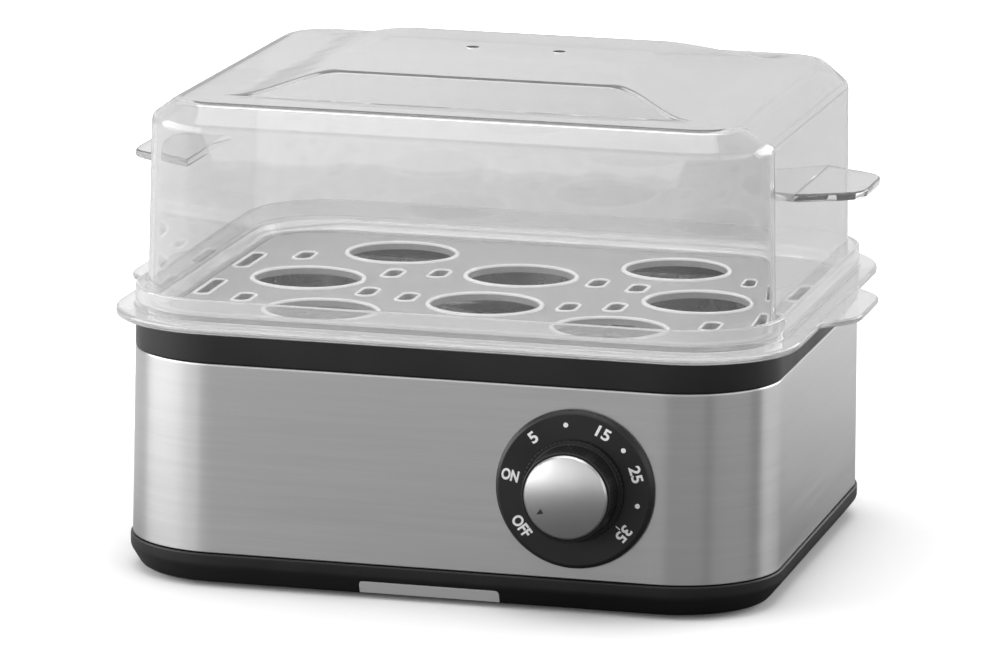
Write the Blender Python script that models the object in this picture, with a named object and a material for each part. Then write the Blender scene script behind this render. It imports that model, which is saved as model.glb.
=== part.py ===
"""Egg boiler with a clear lid, a clear tray with an egg rack, a steel body and a timer knob.

Metres, +Z up, front towards -Y. The origin is on the floor, under the middle of the object's box.
"""
from math import cos, pi, sin
from typing import NamedTuple

import bmesh
import bpy
from mathutils import Matrix, Vector

MM = 0.001

# Gaps between pieces
SEAT_GAP = 0.3 * MM
RUN_GAP = 0.5 * MM
CUT_OVERRUN = 2.0 * MM

# Fineness of round shapes, as counts
CORNER_STEPS = 7
ROUND_STEPS = 32
EGG_HOLE_STEPS = 28
SMALL_STEPS = 12
SLOT_STEPS = 8
DIAL_STEPS = 56
RING_STEPS = 24
NUT_SIDES = 6

# Steel sleeve, the body's main size, measured at its top edge
BODY_WIDTH = 240.0 * MM
BODY_DEPTH = 212.4 * MM
BODY_CORNER = 37.7 * MM
SLEEVE_HEIGHT = 69.6 * MM
SLEEVE_SPREAD = 0.8 * MM
SLEEVE_SHEET = 0.9 * MM

# Black base
FOOT_PROUD = 1.5 * MM
BASE_SKIRT_HEIGHT = 11.5 * MM
BASE_RIM_HEIGHT = 4.7 * MM
BASE_RIM_PROUD = 0.8 * MM
BASE_RIM_ROUND = 0.6 * MM
BASE_SIDE_TUCK = 5.0 * MM
BASE_FRONT_TUCK = 2.8 * MM
BASE_WALL = 2.4 * MM
BASE_FLOOR = 2.6 * MM
BASE_UPSTAND = 6.0 * MM
PILLAR_INSET = 20.0 * MM
PILLAR_RADIUS = 5.0 * MM
PILLAR_HEIGHT = 68.0 * MM
VENT_LENGTH = 42.0 * MM
VENT_WIDTH = 4.0 * MM
VENT_PITCH = 9.0 * MM
VENT_COUNT = 5

# Grey insert in the front of the base
INSERT_LENGTH = 52.0 * MM
INSERT_HEIGHT = 4.9 * MM
INSERT_THICKNESS = 1.2 * MM
INSERT_CORNER = 1.6 * MM
INSERT_BOTTOM_MARGIN = 0.5 * MM

# Rubber feet
FOOT_RADIUS = 7.0 * MM
FOOT_STEM_RADIUS = 2.5 * MM
FOOT_STEM_PROUD = 1.6 * MM
FOOT_EDGE = 0.4 * MM
FOOT_INSET = 31.0 * MM

# Screws that hold the base to the collar
SCREW_RADIUS = 1.5 * MM
SCREW_LENGTH = 16.0 * MM
SCREW_HEAD_RADIUS = 2.8 * MM
SCREW_HEAD_HEIGHT = 2.0 * MM
SCREW_ABOVE_PILLAR = 10.0 * MM

# Black collar over the sleeve
COLLAR_BAND = 11.2 * MM
COLLAR_TOP_EDGE = 0.5 * MM
COLLAR_SKIRT = 6.0 * MM
COLLAR_WALL = 2.0 * MM
COLLAR_SHELF_DROP = 8.6 * MM
COLLAR_SHELF_THICKNESS = 2.5 * MM
SHELF_SIDE_REACH = 19.0 * MM
SHELF_FRONT_REACH = 21.0 * MM
SHELF_CORNER = 26.0 * MM
BOSS_RADIUS = 4.5 * MM

# Water pan and its sealing ring
GASKET_WIDTH = 5.0 * MM
GASKET_THICKNESS = 1.2 * MM
PAN_FLANGE = 8.0 * MM
PAN_SHEET = 0.8 * MM
PAN_DEPTH = 15.5 * MM
PAN_DRAFT = 2.5 * MM
STUD_RADIUS = 1.8 * MM
STUD_SPACING = 36.0 * MM
STUD_BELOW_CLAMP = 5.0 * MM

# Heater under the pan
SPREADER_RADIUS = 48.0 * MM
SPREADER_THICKNESS = 3.0 * MM
ELEMENT_RING_RADIUS = 38.0 * MM
ELEMENT_TUBE_RADIUS = 3.3 * MM
ELEMENT_TAIL_LENGTH = 16.0 * MM
ELEMENT_TAIL_SPACING = 20.0 * MM
ELEMENT_PIN_RADIUS = 1.1 * MM
ELEMENT_PIN_LENGTH = 7.0 * MM
CLAMP_LENGTH = 88.0 * MM
CLAMP_WIDTH = 13.0 * MM
CLAMP_SHEET = 1.4 * MM
CLAMP_LEG = 30.0 * MM
THERMOSTAT_RADIUS = 9.0 * MM
THERMOSTAT_BLADE_LENGTH = 8.0 * MM
THERMOSTAT_BLADE_WIDTH = 6.3 * MM
THERMOSTAT_BLADE_SHEET = 0.8 * MM
FUSE_LENGTH = 24.0 * MM
FUSE_OFFSET = 24.0 * MM
NUT_RADIUS = 3.9 * MM
NUT_HEIGHT = 2.6 * MM

# Dial and knob on the front
DIAL_SIDE_SPACE = 66.4 * MM
DIAL_HEIGHT = 33.3 * MM
DIAL_RADIUS = 29.0 * MM
DIAL_THICKNESS = 2.4 * MM
DIAL_BEVEL = 1.3 * MM
DIAL_POCKET_DEPTH = 1.6 * MM
KNOB_FOOT_RADIUS = 18.6 * MM
KNOB_BACK_RADIUS = 16.9 * MM
KNOB_FRONT_RADIUS = 16.3 * MM
KNOB_HEIGHT = 12.0 * MM
KNOB_FOOT_HEIGHT = 2.0 * MM
KNOB_KNURL = 0.35 * MM
KNOB_RIDGES = 28
KNOB_WALL = 2.2 * MM
KNOB_HOLLOW_DEPTH = 8.5 * MM
KNOB_HUB_WALL = 2.2 * MM
CAP_PROUD = 1.0 * MM
CAP_THICKNESS = 2.4 * MM
CAP_RADIUS = 15.3 * MM
CAP_BEVEL = 0.7 * MM
CAP_DOME = 0.4 * MM
CLIP_SHEET = 0.6 * MM
CLIP_HEIGHT = 4.5 * MM
CLIP_OPENING_SHARE = 0.22

# Clockwork timer behind the dial
TIMER_WIDTH = 42.0 * MM
TIMER_DEPTH = 25.0 * MM
TIMER_CORNER = 6.0 * MM
TIMER_NECK_RADIUS = 5.0 * MM
TIMER_PLATE_WIDTH = 50.0 * MM
TIMER_PLATE_SHEET = 1.2 * MM
TIMER_SCREW_SPACING = 28.0 * MM
TIMER_SCREW_DEPTH = 8.0 * MM
TIMER_SCREW_HEAD_HEIGHT = 1.2 * MM
SHAFT_RADIUS = 3.0 * MM
SHAFT_FLAT = 2.2 * MM
SHAFT_IN_TIMER = 16.0 * MM
SHAFT_IN_KNOB = 9.0 * MM
SHAFT_STEP = 0.5 * MM
BELL_RADIUS = 16.0 * MM
BELL_DEPTH = 7.0 * MM
BELL_SHEET = 1.0 * MM
BELL_POST_RADIUS = 2.5 * MM

# Cord gland, terminal block and leads
GLAND_ABOVE_BASE = 2.0 * MM
GLAND_FLANGE_RADIUS = 8.5 * MM
GLAND_FLANGE = 2.2 * MM
GLAND_NECK_RADIUS = 6.2 * MM
GLAND_BORE_RADIUS = 4.0 * MM
GLAND_INNER_LIP = 3.0 * MM
BLOCK_LENGTH = 34.0 * MM
BLOCK_WIDTH = 18.0 * MM
BLOCK_HEIGHT = 14.0 * MM
BLOCK_FOOT_SPACE = 4.1 * MM
BLOCK_REAR_SPACE = 34.0 * MM
BLOCK_EDGE = 1.0 * MM
BLOCK_WAYS = 3
BLOCK_SCREW_RADIUS = 1.9 * MM
BLOCK_SCREW_HEIGHT = 3.0 * MM
LEAD_RADIUS = 1.2 * MM
LEAD_BEND_SPACE = 10.0 * MM
LEAD_ABOVE_FLOOR = 3.5 * MM

# Clear tray
FLANGE_REACH_SIDE = 6.7 * MM
FLANGE_REACH_FRONT = 6.55 * MM
FLANGE_CORNER = 42.2 * MM
FLANGE_THICKNESS = 3.0 * MM
FLANGE_EDGE = 0.7 * MM
RIM_INSET_FRONT = 8.2 * MM
RIM_INSET_SIDE = 6.4 * MM
RIM_CORNER = 36.0 * MM
RIM_HEIGHT = 11.0 * MM
RIM_WALL = 1.8 * MM
LEDGE_HEIGHT = 4.6 * MM
LEDGE_SIDE = 5.0 * MM
LEDGE_FRONT = 7.2 * MM
WELL_DEPTH = 4.2 * MM
WELL_SLOPE_SIDE = 2.6 * MM
WELL_SLOPE_FRONT = 4.8 * MM
WELL_WALL = 1.7 * MM
LIP_REACH = 2.2 * MM
LIP_THICKNESS = 1.8 * MM
TRAY_HANDLE_REACH = 11.8 * MM
TRAY_HANDLE_TIP = 43.0 * MM
TRAY_HANDLE_ROOT = 76.0 * MM
TRAY_HANDLE_TOP_STEP = 0.35 * MM
TRAY_HANDLE_CORNER = 3.5 * MM
HANDLE_ROOT_OVERLAP = 2.5 * MM

# Egg rack
RACK_THICKNESS = 2.2 * MM
RACK_SIDE_CLEARANCE = 0.7 * MM
RACK_EDGE = 0.4 * MM
EGG_HOLE_RADIUS = 20.0 * MM
EGG_RIM_WIDTH = 1.5 * MM
EGG_RIM_HEIGHT = 0.9 * MM
CORNER_EGG_X = 54.0 * MM
CORNER_EGG_Y = 58.0 * MM
SIDE_EGG_X = 75.0 * MM
MIDDLE_EGG_Y = 28.0 * MM
SLOT_WIDTH = 5.5 * MM
SLOT_LENGTH = 14.0 * MM
OUTER_SLOT_X = 88.0 * MM
OUTER_SLOT_Y = 42.0 * MM
INNER_SLOT_X = 47.0 * MM
INNER_SLOT_Y = 18.5 * MM
CENTRE_SLOT_X = 30.5 * MM
CENTRE_SLOT_Y = 23.5 * MM
LONG_SLOT_LENGTH = 28.0 * MM
LONG_SLOT_WIDTH = 4.6 * MM
LONG_SLOT_X = 105.5 * MM
LONG_SLOT_Y = 27.0 * MM

# Clear lid
LID_WALL = 1.8 * MM
LID_SIDE_CLEARANCE = 2.0 * MM
LID_FRONT_CLEARANCE = 4.1 * MM
LID_FOOT_CORNER = 33.0 * MM
LID_WALL_HEIGHT = 67.6 * MM
LID_SIDE_DRAFT = 1.5 * MM
LID_FRONT_DRAFT = 3.4 * MM
LID_SHOULDER_CORNER = 28.0 * MM
LID_CHAMFER_SIDE = 10.7 * MM
LID_CHAMFER_FRONT = 7.0 * MM
LID_CHAMFER_HEIGHT = 7.8 * MM
LID_CREST_CORNER = 15.8 * MM
CROWN_SIDE_INSET = 18.3 * MM
CROWN_FRONT_INSET = 15.2 * MM
CROWN_CORNER = 12.0 * MM
CROWN_FOOT_RISE = 0.5 * MM
CROWN_RISE = 7.8 * MM
CROWN_TOP_WIDTH = 101.0 * MM
CROWN_TOP_DEPTH = 100.0 * MM
CROWN_TOP_CORNER = 5.0 * MM
VENT_HOLE_RADIUS = 2.4 * MM
VENT_HOLE_X = 16.5 * MM
VENT_HOLE_Y = 14.0 * MM
LID_HANDLE_HEIGHT = 43.7 * MM
LID_HANDLE_THICKNESS = 3.0 * MM
LID_HANDLE_REACH = 23.2 * MM
LID_HANDLE_TIP = 38.0 * MM
LID_HANDLE_ROOT = 64.0 * MM
LID_HANDLE_CORNER = 4.0 * MM


class Outline(NamedTuple):
    """A rounded rectangle seen from above."""

    half_width: float
    half_depth: float
    corner: float

    def grown(self, side, front=None, corner=None):
        """The outline moved outwards at its sides and at its front and back."""
        front = side if front is None else front
        corner = self.corner + min(side, front) if corner is None else corner
        return Outline(self.half_width + side, self.half_depth + front, corner)

    def ring(self, height):
        """The outline's points at one height, anticlockwise from +X."""
        points = []
        for quarter, (sign_x, sign_y) in enumerate(((1, 1), (-1, 1), (-1, -1), (1, -1))):
            centre_x = sign_x * (self.half_width - self.corner)
            centre_y = sign_y * (self.half_depth - self.corner)
            for step in range(CORNER_STEPS + 1):
                angle = (quarter + step / CORNER_STEPS) * pi / 2
                x = centre_x + self.corner * cos(angle)
                y = centre_y + self.corner * sin(angle)
                points.append((x, y, height))
        return points


# Outlines worked out from the sizes above
SLEEVE_TOP = Outline(BODY_WIDTH / 2, BODY_DEPTH / 2, BODY_CORNER)
SLEEVE_FOOT = SLEEVE_TOP.grown(SLEEVE_SPREAD)
BASE_RIM = SLEEVE_FOOT.grown(BASE_RIM_PROUD)
BASE_BOTTOM = BASE_RIM.grown(-BASE_SIDE_TUCK, -BASE_FRONT_TUCK)
COLLAR_SKIRT_OUT = SLEEVE_TOP.grown(-SLEEVE_SHEET - SEAT_GAP)
FLANGE = SLEEVE_TOP.grown(FLANGE_REACH_SIDE, FLANGE_REACH_FRONT, FLANGE_CORNER)
RIM = FLANGE.grown(-RIM_INSET_SIDE, -RIM_INSET_FRONT, RIM_CORNER)
RIM_INSIDE = RIM.grown(-RIM_WALL)
LEDGE_INSIDE = RIM_INSIDE.grown(-LEDGE_SIDE, -LEDGE_FRONT)
WELL_FOOT_INSIDE = LEDGE_INSIDE.grown(-WELL_SLOPE_SIDE, -WELL_SLOPE_FRONT)
WELL_TOP_OUTSIDE = LEDGE_INSIDE.grown(WELL_WALL)
WELL_FOOT_OUTSIDE = WELL_FOOT_INSIDE.grown(WELL_WALL)
LIP_INSIDE = WELL_FOOT_INSIDE.grown(-LIP_REACH)
RACK = WELL_FOOT_INSIDE.grown(-RACK_SIDE_CLEARANCE)
TRAY_OPENING = WELL_TOP_OUTSIDE.grown(RUN_GAP + SEAT_GAP)
SHELF_INSIDE = TRAY_OPENING.grown(-SHELF_SIDE_REACH, -SHELF_FRONT_REACH, SHELF_CORNER)
PAN_TOP = SHELF_INSIDE.grown(-SEAT_GAP - PAN_SHEET)
PAN_BOTTOM = PAN_TOP.grown(-PAN_DRAFT)
PAN_FLANGE_EDGE = PAN_TOP.grown(PAN_FLANGE)
LID_FOOT = RIM_INSIDE.grown(-LID_SIDE_CLEARANCE, -LID_FRONT_CLEARANCE, LID_FOOT_CORNER)
LID_SHOULDER = LID_FOOT.grown(-LID_SIDE_DRAFT, -LID_FRONT_DRAFT, LID_SHOULDER_CORNER)
LID_CREST = LID_SHOULDER.grown(-LID_CHAMFER_SIDE, -LID_CHAMFER_FRONT, LID_CREST_CORNER)
CROWN_FOOT = LID_CREST.grown(-CROWN_SIDE_INSET, -CROWN_FRONT_INSET, CROWN_CORNER)
CROWN_TOP = Outline(CROWN_TOP_WIDTH / 2, CROWN_TOP_DEPTH / 2, CROWN_TOP_CORNER)

# Heights above the floor, worked out upwards
FLOOR_TOP = FOOT_PROUD + BASE_FLOOR
SLEEVE_Z = FOOT_PROUD + BASE_SKIRT_HEIGHT
BASE_RIM_Z = SLEEVE_Z - SEAT_GAP
SLEEVE_TOP_Z = SLEEVE_Z + SLEEVE_HEIGHT
COLLAR_Z = SLEEVE_TOP_Z + SEAT_GAP
COLLAR_TOP_Z = COLLAR_Z + COLLAR_BAND
SHELF_Z = COLLAR_TOP_Z - COLLAR_SHELF_DROP
GASKET_Z = SHELF_Z + SEAT_GAP
PAN_FLANGE_Z = GASKET_Z + GASKET_THICKNESS + SEAT_GAP
PAN_FLOOR_Z = PAN_FLANGE_Z + PAN_SHEET - PAN_DEPTH
PAN_UNDERSIDE_Z = PAN_FLOOR_Z - PAN_SHEET
SPREADER_Z = PAN_UNDERSIDE_Z - SEAT_GAP - SPREADER_THICKNESS
ELEMENT_Z = SPREADER_Z - SEAT_GAP - ELEMENT_TUBE_RADIUS
CLAMP_TOP_Z = ELEMENT_Z - ELEMENT_TUBE_RADIUS - SEAT_GAP
CLAMP_Z = CLAMP_TOP_Z - CLAMP_SHEET
NUT_TOP_Z = CLAMP_Z - SEAT_GAP
PILLAR_TOP_Z = FOOT_PROUD + PILLAR_HEIGHT
SCREW_TOP_Z = PILLAR_TOP_Z + SCREW_ABOVE_PILLAR
SCREW_SEAT_Z = SCREW_TOP_Z - SCREW_LENGTH
BLOCK_Z = FLOOR_TOP + SEAT_GAP
BLOCK_TOP_Z = BLOCK_Z + BLOCK_HEIGHT
TRAY_Z = COLLAR_TOP_Z + SEAT_GAP
LEDGE_Z = TRAY_Z + LEDGE_HEIGHT
LIP_TOP_Z = TRAY_Z - WELL_DEPTH + LIP_THICKNESS
RACK_Z = LIP_TOP_Z + SEAT_GAP
RACK_TOP_Z = RACK_Z + RACK_THICKNESS
LID_Z = LEDGE_Z + SEAT_GAP
LID_SHOULDER_Z = LID_Z + LID_WALL_HEIGHT
LID_CREST_Z = LID_SHOULDER_Z + LID_CHAMFER_HEIGHT
CROWN_FOOT_Z = LID_CREST_Z + CROWN_FOOT_RISE
CROWN_TOP_Z = CROWN_FOOT_Z + CROWN_RISE
DIAL_Z = SLEEVE_Z + DIAL_HEIGHT
GLAND_Z = BASE_RIM_Z + BASE_UPSTAND + GLAND_ABOVE_BASE + GLAND_FLANGE_RADIUS

# Depths at the front and back of the body, from its middle
DIAL_BACK = SLEEVE_FOOT.half_depth + SEAT_GAP
DIAL_FACE = DIAL_BACK + DIAL_THICKNESS
KNOB_BACK = DIAL_FACE + RUN_GAP
KNOB_FRONT = KNOB_BACK + KNOB_HEIGHT
KNOB_REACH = KNOB_FRONT + CAP_PROUD + CAP_DOME
PLATE_FRONT = SLEEVE_TOP.half_depth - SLEEVE_SHEET - SEAT_GAP
PLATE_BACK = PLATE_FRONT - TIMER_PLATE_SHEET
TIMER_FRONT = PLATE_BACK - SEAT_GAP
TIMER_BACK = TIMER_FRONT - TIMER_DEPTH
BODY_SHIFT = (KNOB_REACH - FLANGE.half_depth) / 2

# Names and places of what stands in the four corners, and places along the front and back
CORNER_NAMES = ("right_rear", "right_front", "left_rear", "left_front")
PILLAR_X = SLEEVE_TOP.half_width - PILLAR_INSET
PILLAR_Y = SLEEVE_TOP.half_depth - PILLAR_INSET
FOOT_X = BASE_BOTTOM.half_width - FOOT_INSET
FOOT_Y = BASE_BOTTOM.half_depth - FOOT_INSET
BLOCK_X = BLOCK_LENGTH / 2 + FOOT_STEM_RADIUS + BLOCK_FOOT_SPACE - FOOT_X
BLOCK_Y = SLEEVE_TOP.half_depth - BLOCK_REAR_SPACE
GLAND_X = BLOCK_X
DIAL_X = SLEEVE_TOP.half_width - DIAL_SIDE_SPACE


def clear_scene():
    """Remove whatever the file holds."""
    for old in list(bpy.data.objects):
        bpy.data.objects.remove(old, do_unlink=True)


def material(name, colour, roughness, metallic=0.0, alpha=1.0):
    """A plain Principled material."""
    made = bpy.data.materials.new(name)
    made.use_nodes = True
    shader = made.node_tree.nodes["Principled BSDF"]
    shader.inputs["Base Color"].default_value = (*colour, 1.0)
    shader.inputs["Roughness"].default_value = roughness
    shader.inputs["Metallic"].default_value = metallic
    shader.inputs["Alpha"].default_value = alpha
    return made


def add_object(name, mesh, finish=None, parent=None, smooth=True):
    """Put a mesh in the scene under its parent."""
    made = bpy.data.objects.new(name, mesh)
    bpy.context.scene.collection.objects.link(made)
    made.parent = parent
    if finish:
        mesh.materials.append(material(f"{name}_finish", *finish))
    if smooth:
        mesh.shade_smooth()
        mesh.set_sharp_from_angle(angle=pi / 6)
    return made


def mesh_from(name, bm):
    """Turn a bmesh into a mesh with its faces pointing out."""
    bmesh.ops.recalc_face_normals(bm, faces=bm.faces)
    mesh = bpy.data.meshes.new(name)
    bm.to_mesh(mesh)
    bm.free()
    return mesh


def loft(name, rings, closed=False):
    """Skin rings of equal count. A closed loft joins its last ring to its first, an open one is capped."""
    bm = bmesh.new()
    loops = [[bm.verts.new(point) for point in ring] for ring in rings]
    pairs = list(zip(loops, loops[1:]))
    if closed:
        pairs.append((loops[-1], loops[0]))
    for lower, upper in pairs:
        count = len(lower)
        for index in range(count):
            following = (index + 1) % count
            bm.faces.new((lower[index], lower[following], upper[following], upper[index]))
    if not closed:
        bm.faces.new(loops[0])
        bm.faces.new(loops[-1])
    return mesh_from(name, bm)


def circle(radius, height, steps=ROUND_STEPS, centre=(0, 0), flat=None, ridge=0):
    """Points of a circle round +Z, with an optional flat side at +X or ridges on every other point."""
    points = []
    for step in range(steps):
        angle = 2 * pi * step / steps
        reach = radius - (ridge if step % 2 else 0)
        x = reach * cos(angle)
        if flat is not None:
            x = min(x, flat)
        points.append((centre[0] + x, centre[1] + reach * sin(angle), height))
    return points


def turned(name, profile, steps=ROUND_STEPS, centre=(0, 0)):
    """A solid turned round +Z from (radius, height) pairs, capped at both ends."""
    return loft(name, [circle(radius, height, steps, centre) for radius, height in profile])


def turned_ring(name, profile, steps=ROUND_STEPS, centre=(0, 0)):
    """A ring turned round +Z from a closed outline of (radius, height) pairs."""
    rings = [circle(radius, height, steps, centre) for radius, height in profile]
    return loft(name, rings, closed=True)


def prism(name, points, bottom, top):
    """A flat outline of (x, y) points raised from bottom to top."""
    return loft(name, [[(x, y, height) for x, y in points] for height in (bottom, top)])


def box(name, low, high):
    """A box between two corners."""
    corners = ((low[0], low[1]), (high[0], low[1]), (high[0], high[1]), (low[0], high[1]))
    return prism(name, corners, low[2], high[2])


def slot_points(centre, width, length, steps=SLOT_STEPS):
    """A round-ended slot along Y."""
    points = []
    straight = (length - width) / 2
    half_turn = steps // 2
    for side, start in ((1, 0), (-1, pi)):
        for step in range(half_turn + 1):
            angle = start + pi * step / half_turn
            x = centre[0] + width / 2 * cos(angle)
            y = centre[1] + side * straight + width / 2 * sin(angle)
            points.append((x, y))
    return points


def facing_front(mesh, centre_x, centre_z):
    """Turn a mesh made round +Z to point at the viewer, so that height becomes reach towards -Y."""
    mesh.transform(Matrix.Translation((centre_x, 0, centre_z)) @ Matrix.Rotation(pi / 2, 4, "X"))
    return mesh


def facing_back(mesh, centre_x, centre_z):
    """Turn a mesh made round +Z so that its height becomes reach towards +Y."""
    mesh.transform(Matrix.Translation((centre_x, 0, centre_z)) @ Matrix.Rotation(-pi / 2, 4, "X"))
    return mesh


def combine(target, operation, meshes):
    """Apply one Boolean for each helper mesh, then remove the helpers."""
    for mesh in meshes:
        helper = bpy.data.objects.new("helper", mesh)
        bpy.context.scene.collection.objects.link(helper)
        helper.parent = target.parent
        helper.hide_render = True
        helper.display_type = "WIRE"
        step = target.modifiers.new("shape", "BOOLEAN")
        step.operation = operation
        step.solver = "EXACT"
        step.object = helper
        bpy.context.view_layer.update()
        evaluated = target.evaluated_get(bpy.context.evaluated_depsgraph_get())
        shaped = bpy.data.meshes.new_from_object(evaluated)
        target.modifiers.remove(step)
        target.data = shaped
        bpy.data.objects.remove(helper, do_unlink=True)
    target.data.shade_smooth()
    target.data.set_sharp_from_angle(angle=pi / 6)


def joined(meshes):
    """Several meshes in one, as separate bodies."""
    bm = bmesh.new()
    for mesh in meshes:
        bm.from_mesh(mesh)
    return mesh_from("joined", bm)


def four_corners(x, y):
    """One place in each quarter."""
    return [(sign_x * x, sign_y * y) for sign_x in (1, -1) for sign_y in (1, -1)]


# Finishes: colour, roughness, metallic, alpha
BLACK_PLASTIC = ((0.02, 0.02, 0.021), 0.42)
BRUSHED_STEEL = ((0.62, 0.62, 0.62), 0.32, 1.0)
BRIGHT_STEEL = ((0.7, 0.7, 0.7), 0.22, 1.0)
PLATED_STEEL = ((0.6, 0.61, 0.63), 0.35, 1.0)
ALUMINIUM = ((0.72, 0.73, 0.75), 0.4, 1.0)
BRASS = ((0.75, 0.6, 0.32), 0.3, 1.0)
CLEAR_PLASTIC = ((0.85, 0.86, 0.87), 0.08, 0.0, 0.35)
GREY_PLASTIC = ((0.42, 0.42, 0.42), 0.4)
DARK_PRINT = ((0.03, 0.03, 0.032), 0.35)
WHITE_CERAMIC = ((0.8, 0.79, 0.75), 0.5)
RUBBER = ((0.03, 0.03, 0.03), 0.8)
SILICONE = ((0.55, 0.2, 0.12), 0.6)
LEAD_RED = ((0.5, 0.05, 0.04), 0.5)
LEAD_BLUE = ((0.05, 0.1, 0.45), 0.5)
LEAD_WHITE = ((0.75, 0.75, 0.72), 0.5)


def insert_points(grow, length=INSERT_LENGTH, height=INSERT_HEIGHT):
    """The insert's outline in its own plane, flat at the bottom and rounded at its two top corners."""
    half = length / 2 + grow
    top = height + grow
    corner = INSERT_CORNER + grow
    points = [(-half, -grow), (half, -grow)]
    for start, centre_x in ((0, half - corner), (pi / 2, corner - half)):
        for step in range(SMALL_STEPS // 4 + 1):
            angle = start + pi / 2 * step / (SMALL_STEPS // 4)
            points.append((centre_x + corner * cos(angle), top - corner + corner * sin(angle)))
    return points


def insert_frame():
    """Where the insert's plane lies on the slanted front of the base."""
    drop = BASE_RIM_Z - BASE_RIM_HEIGHT - FOOT_PROUD
    slope = Vector((0, -BASE_FRONT_TUCK, drop)).normalized()
    across = Vector((1, 0, 0))
    outwards = across.cross(slope)
    start = Vector((0, -BASE_BOTTOM.half_depth, FOOT_PROUD)) + slope * INSERT_BOTTOM_MARGIN
    frame = Matrix((across, slope, outwards)).transposed().to_4x4()
    frame.translation = start
    return frame


def make_base(parent):
    """The black moulded base: slanted skirt, floor, upstand inside the sleeve and four pillars."""
    inside_sleeve = SLEEVE_FOOT.grown(-SLEEVE_SHEET - SEAT_GAP - SLEEVE_SPREAD)
    rings = [
        BASE_BOTTOM.ring(FOOT_PROUD),
        BASE_RIM.ring(BASE_RIM_Z - BASE_RIM_HEIGHT),
        BASE_RIM.ring(BASE_RIM_Z - BASE_RIM_ROUND),
        BASE_RIM.grown(-BASE_RIM_ROUND / 2).ring(BASE_RIM_Z),
        inside_sleeve.ring(BASE_RIM_Z),
        inside_sleeve.ring(BASE_RIM_Z + BASE_UPSTAND),
        inside_sleeve.grown(-BASE_WALL).ring(BASE_RIM_Z + BASE_UPSTAND),
        BASE_BOTTOM.grown(-BASE_WALL).ring(FLOOR_TOP),
    ]
    base = add_object("base_tray", loft("base_tray", rings), BLACK_PLASTIC, parent)
    pillars = [
        turned("pillar", ((PILLAR_RADIUS, FOOT_PROUD + BASE_FLOOR / 2), (PILLAR_RADIUS, PILLAR_TOP_Z)),
               SMALL_STEPS, place)
        for place in four_corners(PILLAR_X, PILLAR_Y)
    ]
    combine(base, "UNION", [joined(pillars)])
    cuts = []
    head_bore = SCREW_HEAD_RADIUS + SEAT_GAP
    for place in four_corners(PILLAR_X, PILLAR_Y):
        profile = (
            (head_bore, FOOT_PROUD - CUT_OVERRUN),
            (head_bore, SCREW_SEAT_Z),
            (SCREW_RADIUS + SEAT_GAP, SCREW_SEAT_Z),
            (SCREW_RADIUS + SEAT_GAP, PILLAR_TOP_Z + CUT_OVERRUN),
        )
        cuts.append(turned("screw_bore", profile, SMALL_STEPS, place))
    for place in four_corners(FOOT_X, FOOT_Y):
        reach = FOOT_STEM_RADIUS + SEAT_GAP
        profile = ((reach, FOOT_PROUD - CUT_OVERRUN), (reach, FLOOR_TOP + CUT_OVERRUN))
        cuts.append(turned("foot_hole", profile, SMALL_STEPS, place))
    for index in range(VENT_COUNT):
        offset = (index - (VENT_COUNT - 1) / 2) * VENT_PITCH
        points = slot_points((offset, 0), VENT_WIDTH, VENT_LENGTH)
        cuts.append(prism("vent", points, FOOT_PROUD - CUT_OVERRUN, FLOOR_TOP + CUT_OVERRUN))
    recess = prism("recess", insert_points(SEAT_GAP), -INSERT_THICKNESS - SEAT_GAP, CUT_OVERRUN)
    recess.transform(insert_frame())
    cuts.append(recess)
    combine(base, "DIFFERENCE", [joined(cuts)])


def make_insert(parent):
    """The grey insert in the base's slanted front."""
    mesh = prism("base_front_insert", insert_points(0), -INSERT_THICKNESS, 0)
    mesh.transform(insert_frame())
    add_object("base_front_insert", mesh, GREY_PLASTIC, parent)


def make_feet(parent):
    """Four rubber feet, each with a stem through the base's floor."""
    profile = (
        (FOOT_RADIUS - FOOT_EDGE, 0),
        (FOOT_RADIUS, FOOT_EDGE),
        (FOOT_RADIUS, FOOT_PROUD - SEAT_GAP),
        (FOOT_STEM_RADIUS, FOOT_PROUD - SEAT_GAP),
        (FOOT_STEM_RADIUS, FLOOR_TOP + FOOT_STEM_PROUD),
    )
    for corner, place in zip(CORNER_NAMES, four_corners(FOOT_X, FOOT_Y)):
        name = f"foot_{corner}"
        add_object(name, turned(name, profile, SMALL_STEPS, place), RUBBER, parent)


def make_base_screws(parent):
    """Four screws up the pillars into the collar's bosses."""
    profile = (
        (SCREW_HEAD_RADIUS, SCREW_SEAT_Z - SEAT_GAP - SCREW_HEAD_HEIGHT),
        (SCREW_HEAD_RADIUS, SCREW_SEAT_Z - SEAT_GAP),
        (SCREW_RADIUS, SCREW_SEAT_Z - SEAT_GAP),
        (SCREW_RADIUS, SCREW_TOP_Z),
    )
    for corner, place in zip(CORNER_NAMES, four_corners(PILLAR_X, PILLAR_Y)):
        name = f"base_screw_{corner}"
        add_object(name, turned(name, profile, SMALL_STEPS, place), PLATED_STEEL, parent)


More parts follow.
